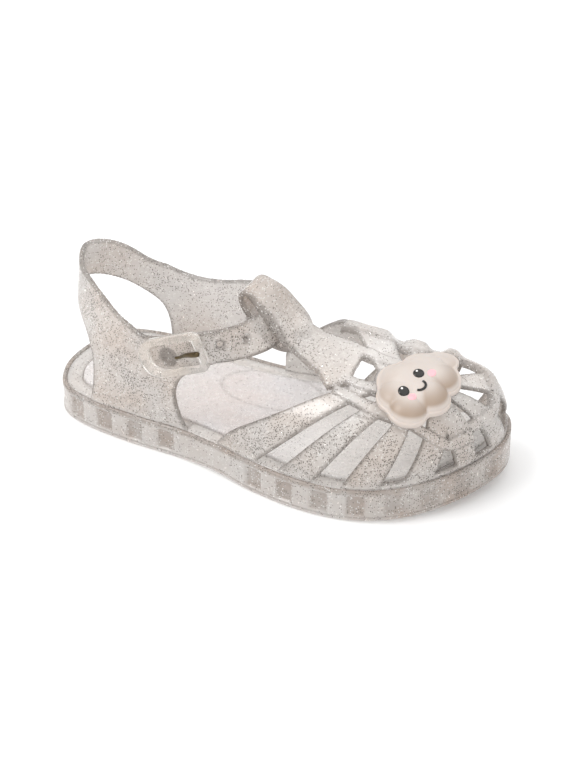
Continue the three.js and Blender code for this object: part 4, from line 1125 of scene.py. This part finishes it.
# Columns: share of the way from the outer to the inner outline, and drop from the face or lift from the back
BUCKLE_FACE = [
    (0.0, 0.7), (0.07, 0.3), (0.24, 0.04), (0.42, 0.0), (0.6, 0.0), (0.78, 0.06), (0.93, 0.34), (1.0, 0.8),
]
BUCKLE_REAR = [(1.0, 0.4), (0.88, 0.0), (0.12, 0.0), (0.0, 0.4)]


def on_strap(points):
    """Points along the strap, up across it and out from the foot, set on the shoe."""
    u, v, w = np.asarray(points, float).T
    c, s = math.cos(BUCKLE_SLOPE), math.sin(BUCKLE_SLOPE)
    return np.column_stack([BUCKLE_X + u * c - v * s, BUCKLE_BACK - w, BUCKLE_Z + u * s + v * c])


def rounded_loop(length, height, rear, front, steps=14):
    """Outline with round corners, larger towards the heel."""
    points = []
    for cx, cy, radius, start in (
        (length / 2 - front, -height / 2 + front, front, -90),
        (length / 2 - front, height / 2 - front, front, 0),
        (-length / 2 + rear, height / 2 - rear, rear, 90),
        (-length / 2 + rear, -height / 2 + rear, rear, 180),
    ):
        for k in range(steps + 1):
            angle = math.radians(start + 90 * k / steps)
            points.append((cx + radius * math.cos(angle), cy + radius * math.sin(angle)))
    return np.array(points)


def buckle_piece():
    outer = rounded_loop(BUCKLE_LENGTH, BUCKLE_HEIGHT, *OUTER_CORNERS)
    inner = rounded_loop(BUCKLE_LENGTH - 2 * BAR_SIDE, BUCKLE_HEIGHT - 2 * BAR_SIDE, *INNER_CORNERS)
    inner[:, 0] += np.where(inner[:, 0] < 0, BAR_REAR - BAR_SIDE, 0)
    heights = [(share, BUCKLE_DEPTH - drop) for share, drop in BUCKLE_FACE] + BUCKLE_REAR
    rings = []
    for share, height in heights:
        rings.append(np.column_stack([outer + (inner - outer) * share, np.full(len(outer), height)]))
    points, faces = swept(rings)
    return make_mesh("buckle_moulding", on_strap(points), faces)


buckle = buckle_piece()
buckle.data.materials.append(clear_plastic)
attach(buckle, "root")
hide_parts("buckle_frame")
print("buckle", len(buckle.data.polygons), "faces,", open_edges(buckle), "open edges")

# %% [markdown]
# ## Prong
# A short pressed pin of bronze-toned metal. It starts near the middle of the frame, rises towards the toe,
# and rests on the front bar.

# %% Prong
# Columns: along the strap, up across it, and out from the foot
PRONG_PATH = [
    (0.4, -1.1, 1.2), (2.6, -1.0, 1.5), (4.8, -0.5, 2.1), (7.4, 0.0, 3.0), (10.2, 0.1, 3.8),
    (13.0, 0.1, 4.05),
]
PRONG_RADII = [0.5, 0.55, 0.68, 0.85, 1.0, 0.95]
DARK_BRONZE, LIGHT_BRONZE = (0.045, 0.033, 0.018, 1), (0.16, 0.12, 0.065, 1)


def tube(path, radii, steps, sides):
    """Round tube along a smooth path, with its ends drawn in."""
    t = np.linspace(0, len(path) - 1, steps + 1)
    line = spline(path, t)
    size = spline([[r] for r in radii], t)[:, 0]
    ends = np.minimum(t, t[-1] - t) / 0.35
    size = size * np.sqrt(np.clip(1 - (1 - np.clip(ends, 0, 1)) ** 2, 0.002, 1))
    along = np.gradient(line, axis=0)
    along /= np.linalg.norm(along, axis=1)[:, None]
    side_way = np.cross(along, (0, 0, 1))
    side_way /= np.linalg.norm(side_way, axis=1)[:, None]
    up = np.cross(side_way, along)
    vertices, faces = [], []
    for k in range(steps + 1):
        for a in range(sides):
            angle = 2 * math.pi * a / sides
            out = math.cos(angle) * side_way[k] + math.sin(angle) * up[k]
            vertices.append(line[k] + size[k] * out)
    for k in range(steps):
        for a in range(sides):
            b = (a + 1) % sides
            faces.append([k * sides + a, k * sides + b, (k + 1) * sides + b, (k + 1) * sides + a])
    faces.append(list(range(sides)))
    faces.append([steps * sides + a for a in reversed(range(sides))])
    return np.array(vertices), faces


bronze, tree, shader = new_material("bronze_toned_metal")
stain = noise(tree, 900.0, 3.0)
fill(tree, shader, {
    "Base Color": mix_color(tree, stain, DARK_BRONZE, LIGHT_BRONZE), "Metallic": 0.9,
    "Roughness": map_range(tree, stain, 0.3, 0.7, 0.25, 0.5),
})
points, faces = tube(PRONG_PATH, PRONG_RADII, 60, 14)
prong = make_mesh("prong", on_strap(points), faces)
prong.data.materials.append(bronze)
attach(prong, "root")
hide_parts("buckle_prong")
print("prong", len(prong.data.polygons), "faces")

# %% [markdown]
# ## Cloud ornament
# It is a puffed disc with lobes. Each lobe is a dome, the creases between them fade towards the middle,
# and a thin flat rim goes round. Its underside follows the toe box with a small clearance.

# %% Cloud
# Middle of the cloud's underside, and how it climbs towards the heel and towards the inner side
CLOUD_X, CLOUD_Y, CLOUD_Z, CLOUD_TO_HEEL, CLOUD_TO_INNER = 141.5, -9.0, 41.0, 0.14, 0.05
# Thickness of the rim, height of the domes, radius of the underside's sag, clearance over the toe box,
# roundness of the domes, and width of the flat rim
CLOUD_EDGE, CLOUD_PUFF, CLOUD_SAG, CLOUD_CLEAR, CLOUD_ROUND, FLAT_RIM = 1.6, 4.2, 130.0, 0.6, 0.6, 0.6
# Columns: place across the shoe, place back towards the heel, radius, share of the full height
LOBES = np.array([
    (-15.6, -3.4, 6.9, 0.88), (-5.7, -5.6, 9, 1), (5.2, -5, 9, 0.95), (14.9, -3.8, 5.7, 0.5),
    (7.8, -1.2, 9, 0.8), (-3.8, 1.2, 11, 0.95), (-11.3, 1.4, 8, 0.92), (0.5, -1.2, 11, 1),
])
SPOKES, RINGS = 220, 52


def cloud_reach(angle):
    """How far the outline of the lobes is from the cloud's middle, at an angle."""
    reach = 0
    for across, behind, radius, swell in LOBES:
        along = across * math.cos(angle) + behind * math.sin(angle)
        aside = across * math.sin(angle) - behind * math.cos(angle)
        if abs(aside) < radius:
            reach = max(reach, along + math.sqrt(radius ** 2 - aside ** 2))
    return reach


def crown(x, y):
    """Height of the middle of the cage wall over a place in plan, for places over the toe box."""
    behind_pole = x <= POLE_X
    ridge_y, ridge_z = soft_table(RIDGE, 1, x), soft_table(RIDGE, 2, x)
    outer_foot, inner_foot = (np.interp(x, half[:, 0], half[:, 1]) for half in (outer_half, inner_half))
    foot = np.where(y < ridge_y, outer_foot, inner_foot)
    turn = np.degrees(np.arctan2(y - pole[1], x - pole[0]))
    ahead_share = np.hypot(x - pole[0], y - pole[1]) / fan_reach(turn)
    share = np.clip(np.where(behind_pole, (y - ridge_y) / (foot - ridge_y), ahead_share), 0, 1)
    section_full = np.where(y < ridge_y, OUTER_FULLNESS, INNER_FULLNESS)
    full = np.where(behind_pole, section_full, fan_fullness(turn))
    top = np.where(behind_pole, ridge_z, pole[2])
    base = rim(x)
    return base + (top - base) * (1 - share ** full) ** (1 / full)


def puff(across, behind):
    """Height of the lobes over the rim, as shares of the full height, softly joined in the middle."""
    domes = []
    for a, b, radius, swell in LOBES:
        share = 1 - ((across - a) ** 2 + (behind - b) ** 2) / (radius - FLAT_RIM) ** 2
        domes.append(swell * np.clip(share, 0, 1) ** CLOUD_ROUND)
    domes = np.array(domes)
    soft = 0.01 + 0.05 * np.exp(-((across / 8) ** 2 + (behind / 4.5) ** 2))
    peak = domes.max(0)
    joined = peak + soft * np.log(np.exp((domes - peak) / soft).sum(0)) * np.clip(peak * 4, 0, 1)
    return joined / (1 + 0.1 * np.clip(joined - 0.9, 0, 1))


def cloud_under(across, behind):
    lean = behind * CLOUD_TO_HEEL + across * CLOUD_TO_INNER
    return CLOUD_Z + lean - (across ** 2 + behind ** 2) / (2 * CLOUD_SAG)


def cloud_top(across, behind):
    """Heights of the cloud's face and underside, over places across the shoe and back towards the heel."""
    across, behind = np.atleast_1d(across), np.atleast_1d(behind)
    seat = crown(CLOUD_X - behind, CLOUD_Y + across) + WALL / 2 + STRIP_RAISE + CLOUD_CLEAR
    free = cloud_under(across, behind)
    under = np.maximum(free, seat)
    height = np.maximum(free + CLOUD_EDGE + CLOUD_PUFF * puff(across, behind), under + CLOUD_EDGE)
    return height, under


def cloud_piece():
    angles = np.linspace(0, 2 * np.pi, SPOKES, endpoint=False)
    reach = np.array([cloud_reach(a) for a in angles])
    soft_reach = sum(np.roll(reach, k) for k in range(-2, 3)) / 5
    shares = np.concatenate([np.sin(np.pi / 2 * np.linspace(0, 1, RINGS + 1)[1:]) * 0.985, [1.0]])
    vertices, faces = [], []
    height, under = cloud_top(0.0, 0.0)
    vertices += [(CLOUD_X, CLOUD_Y, height[0]), (CLOUD_X, CLOUD_Y, under[0])]
    for k, share in enumerate(shares):
        across, behind = np.cos(angles) * soft_reach * share, np.sin(angles) * soft_reach * share
        height, under = cloud_top(across, behind)
        if k == len(shares) - 1:
            height, under = under + CLOUD_EDGE - 0.35, under + 0.2
        for i in range(SPOKES):
            x, y = CLOUD_X - behind[i], CLOUD_Y + across[i]
            vertices += [(x, y, height[i]), (x, y, under[i])]

    def spot(k, i):
        return 2 + 2 * ((k - 1) * SPOKES + i % SPOKES)

    last = len(shares)
    for i in range(SPOKES):
        faces.append([0, spot(1, i), spot(1, i + 1)])
        faces.append([1, spot(1, i + 1) + 1, spot(1, i) + 1])
        for k in range(1, last):
            a, b, c, d = spot(k, i), spot(k + 1, i), spot(k + 1, i + 1), spot(k, i + 1)
            faces.append([a, b, c, d])
            faces.append([a + 1, d + 1, c + 1, b + 1])
        a, b = spot(last, i), spot(last, i + 1)
        faces.append([a, a + 1, b + 1, b])
    return make_mesh("cloud_charm", vertices, faces)


cloud = cloud_piece()
ivory, tree, shader = new_material("ivory_satin")
fill(tree, shader, {
    "Roughness": 0.42, "Subsurface Weight": 0.15, "Subsurface Radius": (0.004, 0.003, 0.002),
    "Coat Weight": 0.15, "Coat Roughness": 0.3,
})
cloud.data.materials.append(ivory)
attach(cloud, "root")
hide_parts("cloud_ornament")
print("cloud", len(cloud.data.polygons), "faces,", open_edges(cloud), "open edges")

# %% [markdown]
# ## Airbrushed shade
# The ornament is cream, with tan on the ends of its lobes, strongest towards the toe's outer side, partly
# airbrushed and partly painted shade where the lobes turn away, and a slightly pinker flat rim. Both follow a
# colour attribute set from each point's place.

# %% Shade of the cloud
CREAM, TAN_AND_SHADE, RIM_PINK = (0.60, 0.535, 0.49, 1), (0.36, 0.27, 0.205, 1), (0.59, 0.515, 0.465, 1)
points = model_points(cloud)
across, behind = points[:, 1] - CLOUD_Y, CLOUD_X - points[:, 0]
reach_here = np.array([cloud_reach(a) for a in np.arctan2(behind, across)])
from_edge = reach_here - np.hypot(across, behind)
# Tan on the lobes' ends towards the toe's outer side: airbrush and painted shade where the lobes turn away
low_side = smooth(-behind * 0.75 - across * 0.5, -10, 11)
away = low_side * (1 - smooth(from_edge, 1.5, 9.5)) * smooth(from_edge, 0.7, 1.9)
color_points(cloud, "shade", away, 1 - smooth(from_edge, 0.5, 1.2))
painted = wire(tree, "ShaderNodeAttribute", attribute_name="shade").outputs["Color"]
amounts = wire(tree, "ShaderNodeSeparateColor", {0: painted}).outputs
tone = mix_color(tree, amounts[0], CREAM, TAN_AND_SHADE)
fill(tree, shader, {"Base Color": mix_color(tree, amounts[1], tone, RIM_PINK)})
print("shade covers", round(float((away > 0.5).mean() * 100)), "% of the points")

# %% [markdown]
# ## Face of the cloud
# Two dark eyes with a small highlight, a short smile and two pink cheeks are printed on it.
# Each is a very thin piece that follows the ornament's face, as a layer of paint does.

# %% Painted face
# Middles in mm from the heel tip and to the inner side, half sizes along and across, and thickness
EYES, EYE_SIZE = {"outer": (141.9, -21.1), "inner": (142.9, -10.5)}, (2.0, 2.35, 0.45)
GLINT_AT, GLINT_SIZE = (-0.75, 0.2), (0.5, 0.6, 0.65)
CHEEKS, CHEEK_SIZE = {"outer": (145.3, -21.8), "inner": (146.5, -7.3)}, (1.45, 2.2, 0.22)
SMILE_X, SMILE_Y, SMILE_RADIUS, SMILE_WIDEN, SMILE_HALF_TURN = 145.5, -16.0, 2.1, 1.12, 100
SMILE_THICK, SMILE_LIFT = 0.46, 0.08
DISC_RINGS, DISC_SIDES = 8, 36


def face_height(x, y):
    return float(cloud_top(y - CLOUD_Y, CLOUD_X - x)[0][0])


def paint_disc(name, x, y, along, across, thick):
    """A thin domed disc that lies on the cloud's face, closed by a cone under it."""
    vertices = [(x, y, face_height(x, y) + thick)]
    for k in range(1, DISC_RINGS + 1):
        share = k / DISC_RINGS
        for a in range(DISC_SIDES):
            angle = 2 * math.pi * a / DISC_SIDES
            px, py = x + along * share * math.cos(angle), y + across * share * math.sin(angle)
            lift = thick * math.sqrt(max(0, 1 - share ** 2.5)) - (0.12 if k == DISC_RINGS else 0)
            vertices.append((px, py, face_height(px, py) + lift))
    vertices.append((x, y, vertices[0][2] - thick - 0.3))
    faces = []
    for a in range(DISC_SIDES):
        b = (a + 1) % DISC_SIDES
        faces.append([0, 1 + a, 1 + b])
        for k in range(1, DISC_RINGS):
            low, high = 1 + (k - 1) * DISC_SIDES, 1 + k * DISC_SIDES
            faces.append([low + a, high + a, high + b, low + b])
    last = 1 + (DISC_RINGS - 1) * DISC_SIDES
    faces += [[len(vertices) - 1, last + (a + 1) % DISC_SIDES, last + a] for a in range(DISC_SIDES)]
    return make_mesh(name, vertices, faces)


def paint(name, color, roughness, mottle):
    """Printed paint with a faint unevenness."""
    material, tree, shader = new_material(name)
    lighter = tuple(min(1, c * mottle) for c in color[:3]) + (1,)
    fill(tree, shader, {
        "Base Color": mix_color(tree, noise(tree, 700.0), color, lighter), "Roughness": roughness})
    return material


black_paint = paint("black_enamel", (0.012, 0.011, 0.01, 1), 0.12, 1.6)
white_paint = paint("white_enamel", (0.93, 0.92, 0.9, 1), 0.2, 1.03)
pink_paint = paint("pink_blush", (0.88, 0.46, 0.50, 1), 0.5, 1.12)


def smile_piece():
    path = []
    for k in range(9):
        angle = math.radians(-SMILE_HALF_TURN + SMILE_HALF_TURN * k / 4) * 0.86
        x = SMILE_X + SMILE_RADIUS * math.cos(angle)
        y = SMILE_Y + SMILE_RADIUS * SMILE_WIDEN * math.sin(angle)
        path.append((x, y, face_height(x, y) + SMILE_LIFT))
    return make_mesh("smile", *tube(path, [SMILE_THICK] * len(path), 60, 12))


face = []
for tag, (x, y) in EYES.items():
    face.append((paint_disc(f"eye_{tag}", x, y, *EYE_SIZE), black_paint))
    glint = paint_disc(f"eye_{tag}_glint", x + GLINT_AT[0], y + GLINT_AT[1], *GLINT_SIZE)
    face.append((glint, white_paint))
for tag, (x, y) in CHEEKS.items():
    face.append((paint_disc(f"cheek_{tag}", x, y, *CHEEK_SIZE), pink_paint))
face.append((smile_piece(), black_paint))
for piece, material in face:
    piece.data.materials.append(material)
    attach(piece, "root")
print("face painted in", len(face), "pieces")

# %% [markdown]
# ## Glitter flakes
# Real flakes lie in the plastic at all angles, and a few of them catch the light. Geometry Nodes scatter
# small six-sided flakes over a moulding, sink each one a little way in, and tilt it at random.

# %% Flake scatter
FLAKE = 0.00017
# Columns: label, flakes for each square metre, least and greatest depth in metres, tilt in radians, seed
FLAKE_PLANS = [
    (upper, "upper", 5.5e5, 0.0, 0.00035, 0.5, 3), (insole, "insole", 1.3e6, 0.0, 0.00012, 0.35, 5),
    (sole, "sole", 2.2e5, 0.0002, 0.0005, 0.6, 7),
]


def flake_tree():
    tree = bpy.data.node_groups.new("scatter_flakes", "GeometryNodeTree")
    tree.interface.new_socket("Geometry", in_out="INPUT", socket_type="NodeSocketGeometry")
    for label in ("Density", "Flake", "Shallow", "Depth", "Tilt"):
        tree.interface.new_socket(label, in_out="INPUT", socket_type=FLOAT)
    tree.interface.new_socket("Seed", in_out="INPUT", socket_type="NodeSocketInt")
    tree.interface.new_socket("Material", in_out="INPUT", socket_type="NodeSocketMaterial")
    tree.interface.new_socket("Geometry", in_out="OUTPUT", socket_type="NodeSocketGeometry")
    given = tree.nodes.new("NodeGroupInput").outputs
    seed, tilt = given["Seed"], given["Tilt"]
    spots = wire(tree, "GeometryNodeDistributePointsOnFaces", {
        "Mesh": given["Geometry"], "Density": given["Density"], "Seed": seed,
    }, distribute_method="RANDOM").outputs
    deep = wire(tree, "FunctionNodeRandomValue", {2: given["Shallow"], 3: given["Depth"], "Seed": seed})
    down = math_node(tree, "MULTIPLY", deep.outputs[1], -1.0)
    inward = wire(tree, "ShaderNodeVectorMath", {0: spots["Normal"], "Scale": down}, operation="SCALE")
    sunk = wire(tree, "GeometryNodeSetPosition", {"Geometry": spots["Points"], "Offset": inward.outputs[0]})
    disc = wire(tree, "GeometryNodeMeshCircle", {"Vertices": 6, "Radius": given["Flake"]}, fill_type="NGON")
    size = wire(tree, "FunctionNodeRandomValue", {2: 0.6, 3: 1.3})
    placed = wire(tree, "GeometryNodeInstanceOnPoints", {
        "Points": sunk.outputs[0], "Instance": disc.outputs[0], "Rotation": spots["Rotation"],
        "Scale": size.outputs[1]})
    most = wire(tree, "ShaderNodeCombineXYZ", {0: tilt, 1: tilt, 2: 3.14}).outputs[0]
    least = wire(tree, "ShaderNodeVectorMath", {0: most, 1: (-1, -1, -1)}, operation="MULTIPLY").outputs[0]
    lean = wire(tree, "FunctionNodeRandomValue", {0: least, 1: most}, data_type="FLOAT_VECTOR")
    turned = wire(tree, "GeometryNodeRotateInstances", {
        "Instances": placed.outputs[0], "Rotation": lean.outputs[0]})
    real = wire(tree, "GeometryNodeRealizeInstances", {"Geometry": turned.outputs[0]})
    dressed = wire(tree, "GeometryNodeSetMaterial", {
        "Geometry": real.outputs[0], "Material": given["Material"]})
    tree.links.new(dressed.outputs[0], tree.nodes.new("NodeGroupOutput").inputs[0])
    return tree


def scatter(source, name, values):
    """Flakes over a copy of a moulding, as a plain mesh of their own."""
    piece = bpy.data.objects.new(name, source.data.copy())
    bpy.context.scene.collection.objects.link(piece)
    modifier = piece.modifiers.new("flakes", "NODES")
    modifier.node_group = scatter_flakes
    for item in scatter_flakes.interface.items_tree:
        if item.in_out == "INPUT" and item.name in values:
            modifier[item.identifier] = values[item.name]
    mesh = bpy.data.meshes.new_from_object(piece.evaluated_get(bpy.context.evaluated_depsgraph_get()))
    piece.modifiers.clear()
    piece.data = mesh
    piece.data.name = name
    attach(piece, "root")
    return piece


silver, tree, shader = new_material("silver_flake")
hue = noise(tree, 260.0, 1.0, output="Color")
fill(tree, shader, {
    "Base Color": mix_color(tree, 0.12, (0.95, 0.94, 0.92, 1), hue), "Metallic": 1.0, "Roughness": 0.22})
scatter_flakes = flake_tree()
for source, label, density, shallow, depth, tilt, seed in FLAKE_PLANS:
    flakes = scatter(source, f"{label}_flakes", {
        "Density": density, "Flake": FLAKE, "Shallow": shallow, "Depth": depth, "Tilt": tilt, "Seed": seed,
        "Material": silver})
    print(label, "flakes", len(flakes.data.polygons))

# %% [markdown]
# ## Floor and light
# A pale floor and soft, even light from large panels, as in a product photograph.

# %% Studio
# Half width and height of the floor in millimetres, and the strength of the even light
FLOOR_HALF, FLOOR_Z, WORLD_LIGHT = 1500, -0.3, 0.75
# Columns: name, place and width in metres, and power in watts
PANELS = [
    ("key", (-0.45, -0.3, 0.85), 0.5, 5.0), ("fill", (0.7, -0.5, 0.5), 0.8, 2.0),
    ("top_light", (0.25, 0.25, 0.95), 1.1, 2.5),
]
AIM = Vector((0, 0, 0.02))

corners = [(x * FLOOR_HALF, y * FLOOR_HALF, FLOOR_Z) for x, y in ((-1, -1), (1, -1), (1, 1), (-1, 1))]
floor = make_mesh("floor", corners, [[0, 1, 2, 3]])
paper, tree, shader = new_material("pale_floor")
tone = mix_color(tree, noise(tree, 3.0), (0.93, 0.93, 0.93, 1), (0.95, 0.95, 0.95, 1))
fill(tree, shader, {"Base Color": tone, "Roughness": 0.6})
floor.data.materials.append(paper)
for name, place, size, energy in PANELS:
    lamp = bpy.data.objects.new(name, bpy.data.lights.new(name, "AREA"))
    bpy.context.scene.collection.objects.link(lamp)
    lamp.data.energy, lamp.data.size = energy, size
    lamp.location = place
    lamp.rotation_euler = (AIM - Vector(place)).to_track_quat("-Z", "Y").to_euler()
world = bpy.data.worlds.new("studio")
bpy.context.scene.world = world
world.use_nodes = True
fill(world.node_tree, world.node_tree.nodes["Background"], {0: (1, 1, 1, 1), 1: WORLD_LIGHT})
bpy.context.scene.view_settings.view_transform = "Standard"
print("studio with", len(PANELS), "panels")
